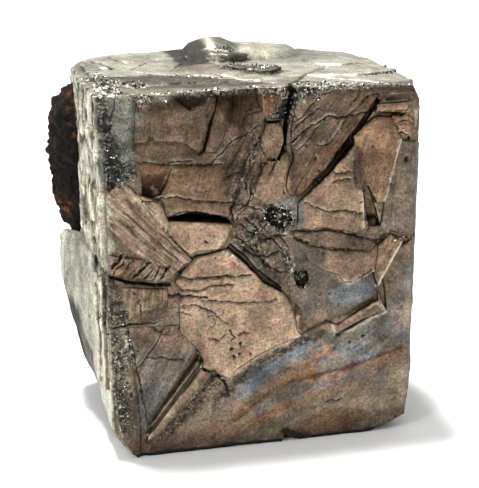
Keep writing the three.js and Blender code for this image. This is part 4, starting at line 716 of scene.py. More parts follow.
# [brightness, blue bloom, rust tint, outline]; on the top and the left, brightness is the change from silver
TOP_PLATES = {
    "front_terrace": [-0.4, 0.0, 0.14, [[-11.4, 0.0], [1.6, 0.0], [1.2, 2.4], [-3.5, 2.4], [-10.6, 3.4]]],
    "line_bundle": [-0.74, 0.0, 0.1, [[-12.3, 6.4], [-7.5, 7.0], [-5.6, 6.6], [-1.2, 3.2], [0.6, 1.8],
        [-2.6, 1.6], [-7.2, 2.0], [-11.8, 3.6]]],
    "light_brown_plate": [-0.22, 0.0, 0.3, [[-5.7, 8.3], [-4.2, 11.4], [-2.6, 11.5], [-1.2, 9.1],
        [-1.1, 6.2], [-2.4, 5.6]]],
    "left_corner": [-0.45, 0.0, 0.0, [[-13.6, 17.0], [-11.8, 16.6], [-11.4, 12.0], [-12.2, 8.0],
        [-13.8, 7.0]]],
    "left_edge": [-0.35, 0.0, 0.0, [[-13.8, 8.0], [-11.6, 7.4], [-10.6, 4.4], [-11.0, 1.0], [-13.4, 0.6]]],
    "ledge_riser": [-0.85, 0.0, 0.15, [[-1.2, 8.4], [0.2, 5.4], [2.0, 4.6], [3.8, 6.2], [3.2, 7.0],
        [2.0, 6.0], [0.6, 6.8], [-0.6, 8.8]]],
    "lump_riser": [-0.88, 0.0, 0.1, [[-2.2, 12.4], [-0.4, 10.8], [1.5, 11.2], [2.6, 13.0], [1.4, 12.8],
        [0.0, 12.2], [-1.6, 13.0]]],
    "right_haze": [-0.14, 0.1, 0.0, [[5.6, 9.6], [8.6, 11.4], [12.4, 11.0], [11.8, 15.0], [7.0, 18.4],
        [4.6, 14.0]]],
    "right_front": [0.12, 0.0, 0.05, [[4.0, 1.0], [12.4, 1.0], [12.6, 5.0], [8.8, 4.2], [5.0, 4.4]]],
    "behind_notch": [-0.3, 0.0, 0.15, [[1.6, 0.4], [3.4, 0.4], [4.4, 4.2], [2.2, 3.4], [1.2, 2.4]]],
    "lump_left": [-0.8, 0.05, 0.06, [[-4.6, 10.0], [-1.9, 10.2], [-1.6, 15.0], [-1.6, 19.8], [-4.8, 19.8]]],
    "lump_flank": [-0.6, 0.0, 0.02, [[-0.7, 12.2], [0.9, 12.2], [1.5, 15.0], [1.2, 19.4], [-0.7, 19.4]]],
    "ridge_end": [-0.4, 0.05, 0.0, [[6.4, 13.6], [8.6, 13.4], [8.6, 18.0], [6.6, 18.0]]],
}
TOP_DIRT = {"lump_left": 0.72, "lump_flank": 0.35, "line_bundle": 0.3}    # dull dirt on three of them
# Soft light and dark lines on the top; the light line over the rear lump is a painted highlight
TOP_SHADES = [
    [0.5, 0.35, [[-10.4, 5.0], [-9.0, 4.4]]],
    [0.45, 0.4, [[-8.6, 6.5], [-6.6, 6.7], [-3.6, 5.6], [-0.8, 4.4], [1.4, 3.0]]],
    [0.5, 0.3, [[-10.6, 3.2], [-5.0, 3.0], [-0.6, 2.2]]],
    [0.7, -0.35, [[-1.2, 9.0], [-0.6, 7.2], [0.2, 5.6]]],
    [0.4, 0.6, [[-1.2, 13.2], [-1.1, 15.0], [-1.1, 16.6]]],
    [0.5, -0.3, [[-4.6, 12.0], [-7.0, 13.6], [-9.8, 14.6]]],
    [0.5, -0.25, [[4.6, 12.6], [7.2, 13.0], [9.4, 12.2]]],
]
TOP_GRAINS = {
    "glitter_line": [0.34, 0.14, 1.2, -0.7, [[-11.8, 6.3], [-10.3, 5.4], [-8.6, 4.0], [-8.8, 2.8],
        [-10.6, 3.9], [-11.9, 5.0]]],
    "left_crumbs": [0.36, 0.14, 0.5, -0.5, [[-12.9, 8.0], [-11.8, 8.0], [-10.9, 3.6], [-10.6, 0.4],
        [-12.9, 0.4]]],
    "ledge_lip": [0.34, 0.14, 1.0, -0.6, [[-0.6, 8.8], [0.6, 6.8], [2.0, 6.0], [3.2, 7.0], [2.4, 7.6],
        [0.8, 8.0], [0.0, 9.6]]],
    "ledge_left": [0.36, 0.14, 0.6, -0.7, [[-1.8, 9.4], [-0.4, 9.8], [-0.6, 7.4], [-1.6, 8.0]]],
    "lump_lip": [0.34, 0.12, 0.8, -0.3, [[-1.6, 13.0], [0.0, 12.2], [1.4, 12.8], [1.0, 13.8], [0.0, 13.2],
        [-1.2, 13.8]]],
    "edge_right": [0.3, 0.1, 0.8, -0.5, [[2.9, 0.1], [13.4, 0.1], [13.4, 1.5], [9.4, 1.1], [6.0, 1.6],
        [3.4, 2.5]]],
    "edge_left": [0.3, 0.06, 0.4, -0.3, [[-9.0, 0.1], [2.0, 0.1], [1.4, 1.1], [-3.6, 0.8], [-9.0, 0.8]]],
    "bundle_glitter": [0.3, 0.06, 0.3, -0.6, [[-6.9, 6.9], [-4.0, 5.6], [-1.4, 3.8], [-4.4, 4.8],
        [-6.6, 6.2]]],
}

# The left face, in y and z
LEFT_CRACKS = [
    [0.3, 0.2, [[3.9, 14.3], [1.5, 15.3], [0.3, 15.9]]],
    [0.35, 0.2, [[3.6, 10.8], [2.5, 11.2], [0.6, 12.0]]],
    [0.5, 0.25, [[7.6, 20.4], [5.4, 17.2], [3.4, 13.8], [1.6, 10.8], [0.8, 10.4]]],
    [0.45, 0.22, [[5.6, 21.0], [4.6, 18.6], [4.2, 15.6], [3.0, 13.2]]],
    [0.4, 0.2, [[8.6, 24.6], [8.2, 22.0], [8.8, 19.8]]],
    [0.4, 0.2, [[3.6, 18.6], [3.3, 16.2], [3.5, 14.8]]],
    [0.4, 0.2, [[1.6, 14.4], [1.9, 12.6], [1.2, 11.4]]],
    [0.4, 0.2, [[10.4, 29.0], [10.0, 26.4], [10.9, 23.2], [10.4, 20.6]]],
    [0.35, 0.2, [[6.0, 29.4], [5.7, 27.2], [6.3, 24.6]]],
    [0.35, 0.2, [[4.2, 26.8], [2.2, 26.5], [0.9, 26.7]]],
]
LEFT_PLATES = {
    "rear_strip": [-0.66, 0.0, 0.22, [[11.6, 27.0], [13.4, 28.4], [20.0, 28.0], [20.0, 17.0],
        [11.2, 17.6], [10.8, 22.0]]],
    "smooth_plate": [0.0, 0.0, 0.0, [[0.4, 29.2], [2.6, 29.4], [3.0, 26.6], [0.6, 26.6]]],
    "cream_flakes": [0.12, 0.0, 0.1, [[0.4, 23.6], [4.4, 23.0], [5.2, 18.4], [0.4, 18.0]]],
    "cream_edge": [0.2, 0.0, 0.06, [[0.2, 20.0], [2.4, 20.2], [1.9, 15.9], [0.2, 15.8]]],
    "dark_cluster": [-0.4, 0.1, 0.0, [[3.6, 20.6], [8.4, 21.2], [8.0, 18.6], [3.8, 18.4]]],
    "grey_wedge": [-0.3, 0.0, 0.0, [[2.0, 15.4], [7.6, 17.4], [2.0, 10.6]]],
    "pale_facet": [-0.05, 0.0, 0.0, [[0.4, 10.4], [4.0, 10.8], [6.4, 8.6], [5.0, 1.4], [0.4, 1.0]]],
    "rock_rim": [-0.88, 0.0, 0.45, [[9.4, 9.6], [20.0, 11.6], [20.0, -1.0], [3.4, -1.0], [4.6, 3.2],
        [7.0, 5.6]]],
}
# Soft light and dark lines on the left face; the light line along its front edge is a painted highlight
LEFT_SHADES = [
    [0.7, -0.35, [[9.9, 17.2], [9.4, 14.0], [10.6, 11.0]]],
    [0.5, -0.4, [[11.2, 15.4], [10.6, 13.0], [11.4, 11.4]]],
    [0.6, 0.3, [[12.4, 14.6], [12.0, 12.2]]],
    [0.9, -0.25, [[7.2, 16.8], [7.4, 13.0], [8.6, 9.6]]],
    [0.4, 0.35, [[0.55, 24.0], [0.5, 18.0], [0.6, 12.0], [0.7, 4.0]]],
    [0.5, -0.25, [[2.4, 9.6], [2.9, 5.4], [2.4, 2.0]]],
]

# Brightness (with painted shade and light in it), blue bloom, rust tint, bare silver, black dirt and painted
# shade, loose grains, rubbed edges with painted highlights and fine cracks
FINISHES = ("tone", "bloom", "red", "silver", "soot_and_shade", "grains", "lip", "crackle")


class Patch:
    """The points of one face: how much each belongs to it, and the relief and finish that it gets."""

    def __init__(self, points, share, axes):
        self.where = np.flatnonzero(share > 0.02)
        self.share = share[self.where]
        self.points = points[self.where]
        self.axes = axes
        self.flat = self.points[:, axes]
        self.relief = np.zeros(len(self.where))
        self.growth = np.zeros((len(self.where), 3))
        self.finish = {name: np.zeros(len(self.where)) for name in FINISHES}

    def lift(self, name, value, near=slice(None)):
        """Raises a finish to the value wherever it is lower."""
        self.finish[name][near] = np.maximum(self.finish[name][near], value)

    def blend(self, name, share, value, near=slice(None)):
        """Takes a finish that share of the way to the value."""
        self.finish[name][near] += share * (value - self.finish[name][near])

    def jitter(self, size, height, seed):
        """Uneven shifts along both axes of the face, for lines that wander."""
        return height * shifts(self.points, size, (seed, seed + 1))

    def crack(self, strokes, jitter, reach):
        """Cuts [width, depth, line] strokes: dark, tapered at both ends and almost closed here and there."""
        wavy = self.flat + jitter
        gape = between(swell(self.points, 1.1, 49), -0.7, -0.1)
        for width, depth, line in strokes:
            near = around(wavy, line, width + 0.1)
            distance, way = along_line(wavy[near], line)
            taper = 0.45 + 0.55 * np.sin(np.pi * np.clip(way, 0.04, 0.96))
            half = reach * width * taper * (0.35 + 0.65 * gape[near]) + 0.015
            self.relief[near] -= depth * between(distance, half * 1.5 + 0.03, 0.0)
            dark = between(distance, half + 0.035, half * 0.3) * (0.5 + 0.45 * gape[near])
            self.lift("soot_and_shade", dark, near)

    def colour(self, plates, fade, jitter):
        """Gives each [brightness, bloom, rust, outline] plate its finish, over what is there."""
        for *values, outline in plates.values():
            plate = inside(self.flat + jitter, outline, fade)
            for name, value in zip(("tone", "bloom", "red"), values):
                self.blend(name, plate, value)

    def streak(self, streaks):
        """Lays fine growth lines over [direction, amount, outline] zones."""
        for seed, ((u, v), amount, outline) in enumerate(streaks, 301):
            part = inside(self.flat, outline, 0.15)
            across = np.zeros(3)
            across[self.axes] = (v, -u)
            self.growth += part[:, None] * (amount * across - self.growth)
            lines = np.stack([self.flat @ (v, -u), 0 * part, self.flat @ (u, v)], axis=1)
            self.relief += part * amount * 0.014 * roughness(lines, (0.42, 9.0, 3.8), seed, 2)

    def shade(self, lines):
        """Darkens or lightens along [half width, change, line] lines, softly."""
        for spread, change, line in lines:
            near = around(self.flat, line, spread)
            distance, _ = along_line(self.flat[near], line)
            gain = 1 + change * between(distance, spread, 0.1 * spread)
            self.finish["tone"][near] = (1 + self.finish["tone"][near]) * gain - 1

    def granulate(self, zones, jitter, silver):
        """Breaks [lump size, height, bright share, brightness, outline] zones up into fine grains."""
        bent = self.points + 0.2 * shifts(self.points, 0.4, (82, 83, 84))
        for size, height, bright, tone, outline in zones.values():
            zone = inside(self.flat + jitter, outline, 0.3)
            near = np.flatnonzero(zone > 0.01)
            lump, value = pebbles(bent[near], size, 85)
            part = zone[near]
            self.relief[near] += part * height * (1.6 * lump * value - 0.6)
            light = between(value, 1 - 0.45 * bright, 1.05 - 0.45 * bright)
            uneven = tone + 0.5 * value * (1 + tone) + light * (0.15 - tone)
            self.blend("tone", part, uneven, near)
            self.blend("silver", part, silver * min(1, 3 * bright), near)
            gap = np.maximum(between(lump, 0.34, 0.05), between(value, 0.34, 0.24))
            self.lift("soot_and_shade", part * (1 - light) * gap * 0.9, near)
            self.lift("grains", part * bright, near)

    def follow(self, name, lines, jitter):
        """Raises one finish value to the amount along [half width, amount, line] lines."""
        for spread, amount, line in lines:
            near = around(self.flat, line, 2 * spread)
            distance, _ = along_line((self.flat + jitter)[near], line)
            self.lift(name, amount * between(distance, spread * 1.3, spread * 0.5), near)


def shape_front(patch):
    """Etched growth plates, laths, cracks and granular zones, and the smooth banded lower right."""
    points, flat = patch.points, patch.flat
    jitter = patch.jitter(0.6, 0.1, 41) + patch.jitter(0.25, 0.1, 43) + patch.jitter(0.13, 0.04, 56)
    grain = roughness(points, 0.3, 51, 2)
    waves = roughness(points, 2.6, 61, 3)
    slanted = points @ np.array([[0.87, 0, -0.5], [0, 1, 0], [0.5, 0, 0.87]])
    drift = roughness(slanted, (4.5, 2.0, 0.9), 71, 3)
    smooth_corner = inside(flat, SMOOTH_CORNER, 0.6)
    patch.relief += 0.016 * grain + 0.03 * waves + smooth_corner * 0.06 * drift
    patch.finish["tone"] += 0.12 * waves + smooth_corner * (0.05 + 0.16 * drift)
    patch.finish["silver"] += 0.08 * smooth_corner

    patch.colour(FRONT_PLATES, 0.07, 0.5 * jitter)
    wander = 2 * jitter + patch.jitter(1.4, 0.3, 58)
    for amount, tone, bloom, outline in FRONT_SILVER:
        plate = inside(flat + wander, outline, 0.15)
        patch.lift("silver", amount * plate)
        patch.blend("tone", plate, tone)
        patch.blend("bloom", plate, bloom)
    shades = 0.26 * waves + 0.24 * roughness(points, 0.9, 65, 2)
    patch.finish["tone"] += (1 + patch.finish["tone"]) * shades
    patch.streak(FRONT_STREAKS)
    patch.finish["crackle"] += 0.4
    for amount, outline in FRONT_CRACKLE:
        patch.blend("crackle", inside(flat, outline, 0.4), amount)
    patch.shade(FRONT_SHADES)
    patch.granulate(GRANULAR_ZONES, 3 * jitter, 0.75)
    patch.crack(FRONT_CRACKS + HATCH_STROKES, jitter, 0.17)
    patch.follow("lip", FRONT_LIPS, 0.6 * jitter)
    for u, v, radius in PIT_DOTS:
        near = around(flat, [[u, v]], 2 * radius)
        distance = np.hypot(*(flat[near] + jitter[near] - (u, v)).T)
        patch.relief[near] -= between(distance, radius * 1.3, radius * 0.3) * radius
        patch.lift("soot_and_shade", between(distance, radius * 1.1, radius * 0.6), near)

    streaky = np.clip(0.62 + 0.65 * roughness(slanted, (2.2, 2.0, 0.45), 151, 3), 0, 1)
    for name, bands in (("red", ORANGE_BANDS), ("bloom", BLUE_BANDS)):
        for spread, amount, line in bands:
            distance, _ = along_line(flat + 4 * jitter, line)
            band = between(distance, spread * 1.8, 0.2 * spread) * 1.3 * amount * streaky
            patch.lift(name, band)
    patch.follow("grains", FRONT_GLINTS, 0)

    # the front edge of the top: broken to crumbs in some places, a sharp line in the others
    x, y, z = points.T
    edge = between(y, 1.3, 0.7) * between(z, TOP_Z - 0.55, TOP_Z - 0.15)
    crumbly = 0.12 + sum(amount * np.exp(-((x - middle) / spread) ** 2)
                         for middle, spread, amount in EDGE_CRUMBS)
    lump, value = pebbles(points, 0.36, 111)
    patch.relief += edge * 0.16 * np.clip(crumbly + 0.3, 0, 1) * (lump * (0.4 + value) - 0.6)
    patch.lift("grains", edge * crumbly)
    patch.lift("silver", 0.8 * edge)
    gaps = edge * np.clip(1.6 * crumbly, 0, 1) * between(lump, 0.5, 0.15)
    patch.lift("soot_and_shade", 0.9 * gaps)


def shape_left(patch):
    """Long upright flakes like bark above and in front, a smooth lobe low at the rear."""
    points, flat = patch.points, patch.flat
    _, y, z = points.T
    lobe = between(y, 3.4, 5.4) * between(z, 17.6, 15.4)
    facet = inside(flat, LEFT_PLATES["pale_facet"][-1], 0.4)
    calm = np.maximum(lobe, facet)
    side, end, level = upright_flakes(points, 2.1, 2.6, 91)
    sliver_side, sliver_end, shade = upright_flakes(points, 0.9, 0.9, 96)
    fibres = roughness(points, (9.0, 0.5, 0.8), 97, 3)
    kept = between(swell(points, (6.0, 1.5, 1.1), 103), -0.6, 0.2)
    patch.relief += (1 - calm) * (0.2 * level + 0.1 * shade + 0.05 * fibres - 0.14 * between(side, 0.26, 0.0))
    patch.relief += lobe * 0.2 * roughness(points, (9.0, 1.3, 4.5), 99, 3) + facet * 0.02 * fibres
    patch.finish["silver"] += 1.0
    base = (1 - calm) * (0.25 * (level - 0.4) + 0.35 * (shade - 0.4) + 0.2 * fibres)
    base = base + lobe * (-0.34 + 0.34 * roughness(points, (9.0, 0.9, 3.2), 101, 3))
    jitter = patch.jitter(0.9, 0.22, 45)
    patch.colour(LEFT_PLATES, 0.35, 2 * jitter)
    patch.finish["tone"] = (1 + patch.finish["tone"]) * (1 + base) - 1
    patch.shade(LEFT_SHADES)
    dark = np.maximum(between(side, 0.28, 0.12), 0.8 * between(end, 0.09, 0.03)) * kept
    fine = np.maximum(between(sliver_side, 0.22, 0.1), 0.7 * between(sliver_end, 0.06, 0.02))
    fine = fine * 0.8 * between(swell(points, (6.0, 1.1, 1.6), 104), -0.1, 0.4)
    patch.lift("soot_and_shade", 0.85 * (1 - calm) * np.maximum(dark, fine))
    patch.finish["crackle"] += 0.3
    patch.growth[:, 1] = 0.8 - 0.3 * calm
    # the low rear of the left face, by the rock, is made near black
    low_rear_dark = between(y + 0.8 * fibres, 8.6, 10.2) * between(z, 11.6, 8.6)
    patch.lift("soot_and_shade", 0.85 * low_rear_dark)
    patch.crack(LEFT_CRACKS, jitter, 0.4)


def shape_top(patch):
    """A terrace with growth lines along the front edge, low facets and dark ledges behind it."""
    points, flat = patch.points, patch.flat
    _, y, z = points.T
    grain = roughness(points, 0.34, 51, 2)
    wander = 0.4 * shifts(points, (2.2, 2.2, 9.0), (31, 32, 33))
    facets, riser = terraces(roughness(points + wander, (4.2, 3.0, 9.0), 105, 2), 2.5)
    lines = swell(points, (14.0, 0.36, 9.0), 107) + 0.5 * swell(points, (9.0, 0.2, 9.0), 109)
    terrace = between(y, 6.4, 4.4)
    lump = between(z, TOP_Z + 0.45, TOP_Z + 0.9)
    rough = 1 - lump * between(y, 10.4, 11.4)
    patch.relief += rough * (0.015 * grain + 0.07 * (1 - terrace) * facets) + terrace * 0.035 * lines
    patch.finish["silver"] += 1.0
    patch.finish["tone"] += (1 - terrace) * rough * 0.25 * facets + terrace * 0.14 * lines
    jitter = patch.jitter(0.8, 0.14, 47)
    base = patch.finish["tone"].copy()
    patch.finish["tone"][:] = 0
    patch.colour(TOP_PLATES, 0.25, 2 * jitter)
    patch.finish["tone"] = (1 + patch.finish["tone"]) * (1 + base + 0.14 * (1 - terrace)) - 1
    patch.shade(TOP_SHADES)
    patch.granulate(TOP_GRAINS, 2 * jitter, 1.0)
    patch.finish["crackle"] += 0.25
    patch.growth[:, 1] = 0.3 + 0.5 * terrace
    for name, amount in TOP_DIRT.items():
        patch.lift("soot_and_shade", amount * inside(flat + jitter, TOP_PLATES[name][-1], 0.3))
    # the terraces' steep risers are painted darker, as shade
    patch.lift("soot_and_shade", rough * (1 - terrace) * 0.3 * riser)
    patch.crack(TOP_STROKES, jitter, 0.34)


def shape_hidden(patch):
    """The right and rear faces: bronze like the front, with broken relief and cracks of their own."""
    points = patch.points
    grain = roughness(points, 0.5, 51, 2)
    waves = roughness(points, 3.2, 121, 4)
    slanted = points @ np.array([[0.9, 0, -0.2], [0, 0.9, -0.4], [0.2, 0.4, 0.9]]) + 0.12 * waves[:, None]
    big, big_edge, shade, turn = flat_plates(slanted, (7.0, 7.0, 4.8), 121)
    small, small_edge, tint, _ = flat_plates(slanted, (2.6, 2.6, 1.5), 131)
    open_here = between(swell(points, 3.0, 145), -0.35, 0.1)
    cracks = np.maximum(between(big_edge, 0.016, 0.004), 0.7 * between(small_edge, 0.032, 0.01) * open_here)
    patch.relief += 0.4 * (big - 0.6) + 0.1 * (small - 0.5) + 0.04 * waves + 0.015 * grain - 0.08 * cracks
    patch.finish["tone"] += 0.1 * waves + 0.6 * (shade - 0.45) + 0.3 * (tint - 0.5)
    patch.finish["bloom"] += 0.5 * between(swell(points, (6.0, 6.0, 5.0), 147), 0.1, 0.6)
    patch.finish["red"] += 0.3 * between(swell(points, (4.0, 4.0, 3.0), 148), 0.2, 0.7)
    patch.finish["crackle"] += 0.4 + 0.5 * open_here
    patch.growth += 0.5 * turn
    zones = between(swell(points + 0.4 * waves[:, None], (4.0, 4.0, 5.0), 149), 0.5, 0.62)
    lump, value = pebbles(points, 0.4, 151)
    patch.relief += zones * 0.1 * (lump * (0.5 + value) - 0.6)
    patch.finish["tone"] += zones * (-0.45 + 0.4 * value)
    patch.finish["silver"] += 0.5 * zones
    patch.finish["grains"] += 0.25 * zones
    patch.finish["soot_and_shade"] += np.clip(0.9 * cracks + zones * between(lump, 0.4, 0.1), 0, 1)


def shape_foot(patch):
    """The flat foot: a worn, dark broken face."""
    points = patch.points
    lump, value = pebbles(points, 0.6, 161)
    patch.relief -= 0.03 * (1 - lump)
    patch.finish["tone"] += -0.45 + 0.3 * value + 0.2 * roughness(points, 2.4, 163, 3)
    patch.finish["soot_and_shade"] += 0.6 * between(lump, 0.3, 0.0)


def raised(mesh, points, normals, relief):
    """Moves the points out by the relief, but never below the foot, and gives their new places."""
    points = points + normals * relief[:, None]
    points[:, 2] = np.maximum(points[:, 2], FOOT_Z)
    set_points(mesh, points)
    return points


def wear_down(points):
    """Wears the drawing's crisp forms down, in place."""
    x, y, z = points.T

    # plates, ledges and the ridge right of the rear lump are lower
    low_plate = PLATE_MIDDLE_Y + (y - PLATE_MIDDLE_Y) * PLATE_HEIGHT
    pit_shift = (FRONT_Y - PLATE_MIDDLE_Y) * (1 - PLATE_HEIGHT) * between(y, 4.0, FRONT_Y)
    y[:] = np.where(y < FRONT_Y, low_plate, y - pit_shift)
    ledge = between(y, 11.6, 10.6) * np.clip(z - LEDGE_Z, 0, None)
    z -= (1 - LEDGE_HEIGHT) * ledge
    saddle = between(x, 0.2, 1.5) * between(y, 11.0, 12.0)
    z -= 0.35 * saddle * np.clip(z - 30.3, 0, 1)

    # some grooves of the front are shallower, and the edges by its upper left corner wander
    uneven = swell(points, (1.8, 9.0, 9.0), 171)
    near_front = between(y, 4.0, 1.0)
    corner_hollow = between(x, -11.2, -11.8) * between(z, 25.0, 26.0)
    y -= 0.6 * corner_hollow * near_front * np.clip(y - 0.35, 0, 1.2)
    for left, right, low, high, plate_y in SHALLOW_GROOVES:
        shallow = between(x, left, left + 0.4) * between(x, right, right - 0.4)
        shallow *= between(z, low, low + 0.4) * between(z, high, high - 0.4)
        y -= 0.8 * shallow * near_front * np.clip(y - plate_y, 0, 2.0)
    corner_edges = between(x, -9.0, -9.6) * between(x, -12.9, -12.3) * between(z, 22.0, 23.0)
    x += 0.4 * corner_edges * near_front * roughness(points, (9.0, 9.0, 2.0), 175, 3)

    # the lower front stands further forward, and its edge is rounded under at the foot
    y -= 0.55 * near_front * between(z, 9.0, 0.0)
    y += (0.16 + 0.06 * uneven) * near_front * between(z, FOOT_Z + 0.4, FOOT_Z + 0.26)


def shape_crystal(piece):
    """Gives the plain solid its natural surfaces, and the finish values that its material reads."""
    mesh = piece.data
    points = points_of(mesh)
    normals = normals_of(mesh)
    edges = edges_of(mesh)
    wear_down(points)
    wander = shifts(points, 1.1, (11, 21, 31), 2)
    points = points + 0.045 * wander

    # how much each point belongs to each face
    x, y, z = points.T
    foot = between(normals[:, 2], -0.5, -0.9)
    left_edge = np.interp(z, *LEFT_EDGE)
    inner = between(z, TOP_Z - 0.15, TOP_Z - 0.45) * between(x, left_edge, left_edge + 0.3)
    facing = between(normals[:, 2], 0.75, 0.45) * between(normals[:, 0], -0.8, -0.55)
    front = between(y, 2.6, 1.5) * (1 - foot) * np.maximum(inner, facing)
    lump = between(z, TOP_Z + 0.3, TOP_Z + 0.6) * between(y, 10.4, 11.4)
    up = np.maximum(between(normals[:, 2], 0.35, 0.75), lump)
    top = up * (1 - front) * (1 - foot)
    rest = (1 - front) * (1 - foot) * (1 - up)
    leftward = between(-normals[:, 0], 0.1, 0.5)
    left = rest * leftward
    hidden = rest * (1 - leftward)

    relief = np.zeros(len(points))
    growth = np.zeros_like(points)
    finish = {name: np.zeros(len(points)) for name in FINISHES}
    for shape, share, axes in ((shape_front, front, [0, 2]), (shape_left, left, [1, 2]),
                               (shape_top, top, [0, 1]), (shape_hidden, hidden, [0, 2]),
                               (shape_foot, foot, [0, 1])):
        patch = Patch(points, share, axes)
        shape(patch)
        relief[patch.where] += patch.relief * patch.share
        growth[patch.where] += patch.growth * patch.share[:, None]
        for name, values in patch.finish.items():
            finish[name][patch.where] += values * patch.share

    # near the foot there are no grains, and the relief only ever goes inwards
    finish["grains"] *= between(z, FOOT_Z + 0.5, FOOT_Z + 0.8)
    near_foot = between(z, FOOT_Z + 0.5, FOOT_Z + 0.05)
    relief = relief * (1 - near_foot) - 0.04 * near_foot * np.abs(wander[:, 0])
    relief = np.where(foot > 0.5, -np.abs(relief), relief)
    points = raised(mesh, points, normals, relief)

    # rubbed edges with painted highlights, and painted shade in hollows and on steep risers, from how the
    # finished surface bends
    _, y, z = points.T
    normals = normals_of(mesh)
    fine = smoothed(points, edges, 3)
    soft = smoothed(fine, edges, 14)
    lip = np.einsum("ij,ij->i", points - fine, normals)
    hollow = np.einsum("ij,ij->i", soft - points, normals)
    # the front's deeper parts get painted shade as well
    pit = front * between(y, 0.75, 1.5)
    # steep risers on the front and the ledges' forward faces are painted darker, as shade
    riser = front * inner * between(-normals[:, 1], 0.95, 0.7) * (1 - finish["lip"])
    ledge = (1 - front) * between(z, LEDGE_Z - 0.15, LEDGE_Z) * between(y, 12.0, 11.0)
    riser = np.maximum(0.4 * riser, 0.9 * ledge * between(-normals[:, 1], 0.35, 0.6))
    finish["tone"] = np.maximum((1 + finish["tone"]) * (1 - riser), 0.13) - 1
    # edges that stand out get rubbed wear and a painted highlight
    rubbed_and_highlight = (0.3 - 0.22 * hidden) * between(lip, 0.008, 0.02) * between(hollow, 0.04, -0.02)
    finish["lip"] = np.maximum(finish["lip"], rubbed_and_highlight * between(swell(points, 0.9, 181), -0.2, 0.5))
    for name, values in finish.items():
        set_attribute(mesh, name, values)
    set_attribute(mesh, "growth", growth, "FLOAT_VECTOR", "vector")
    # the hollow attribute is painted shade, in hollows and deep in the front
    set_attribute(mesh, "hollow", np.clip(0.5 * between(hollow, 0.02, 0.1) + 0.3 * pit, 0, 1))


def shape_rock(piece):
    """Lumpy weathered rock with crusts of rust in its hollows, grown tight against the crystal."""
    mesh = piece.data
    points = points_of(mesh)
    normals = normals_of(mesh)
    boulders, _ = pebbles(points + 0.3 * roughness(points, 1.4, 211, 2)[:, None], 1.7, 201)
    crumbs, value = pebbles(points + 0.25 * roughness(points, 0.8, 215, 2)[:, None], 0.65, 205)
    uneven = roughness(points, 2.4, 221, 4)
    relief = 0.3 * (boulders - 0.5) + 0.17 * (crumbs * (0.4 + value) - 0.6) + 0.24 * uneven
    towards_crystal = -(points - (0, 9, 15)) * (1, 1, 0.2)
    towards_crystal /= np.linalg.norm(towards_crystal, axis=1)[:, None]
    facing = between(np.einsum("ij,ij->i", normals, towards_crystal), 0.2, 0.6)
    relief = relief * (1 - 0.7 * facing) + 0.42 * facing
    points = raised(mesh, points, normals, relief)
    z = points[:, 2]
    ends = np.maximum(between(z, 24.5, 27.0), between(z, 19.5, 17.0))
    rust = between(roughness(points, 1.5, 231, 3) + 0.9 * ends, 0.45, 1.1)
    set_attribute(mesh, "rust", rust)
    set_attribute(mesh, "crumb", crumbs)


# Materials

MIX_FACTOR, MIX_A, MIX_B, MIX_RESULT = 0, 6, 7, 2


def linear(colour):
    """An sRGB hex colour as a linear RGBA value."""
    parts = [int(colour[i:i + 2], 16) / 255 for i in (1, 3, 5)]
    return [part / 12.92 if part <= 0.04045 else ((part + 0.055) / 1.055) ** 2.4 for part in parts] + [1.0]


def add(tree, kind, inputs=(), **settings):
    """Adds a node with its settings. Inputs are values or other nodes' outputs."""
    made = tree.nodes.new(kind)
    for name, value in settings.items():
        setattr(made, name, value)
    for key, value in dict(inputs).items():
        if isinstance(value, bpy.types.NodeSocket):
            tree.links.new(value, made.inputs[key])
        else:
            made.inputs[key].default_value = value
    return made


def per_mm(size):
    """The scale of a pattern on Object coordinates, in metres, whose detail is that many millimetres."""
    return 1 / (size * MM)


def new_material(name):
    material = bpy.data.materials.new(name)
    material.use_nodes = True
    material.node_tree.nodes.clear()
    return material, material.node_tree


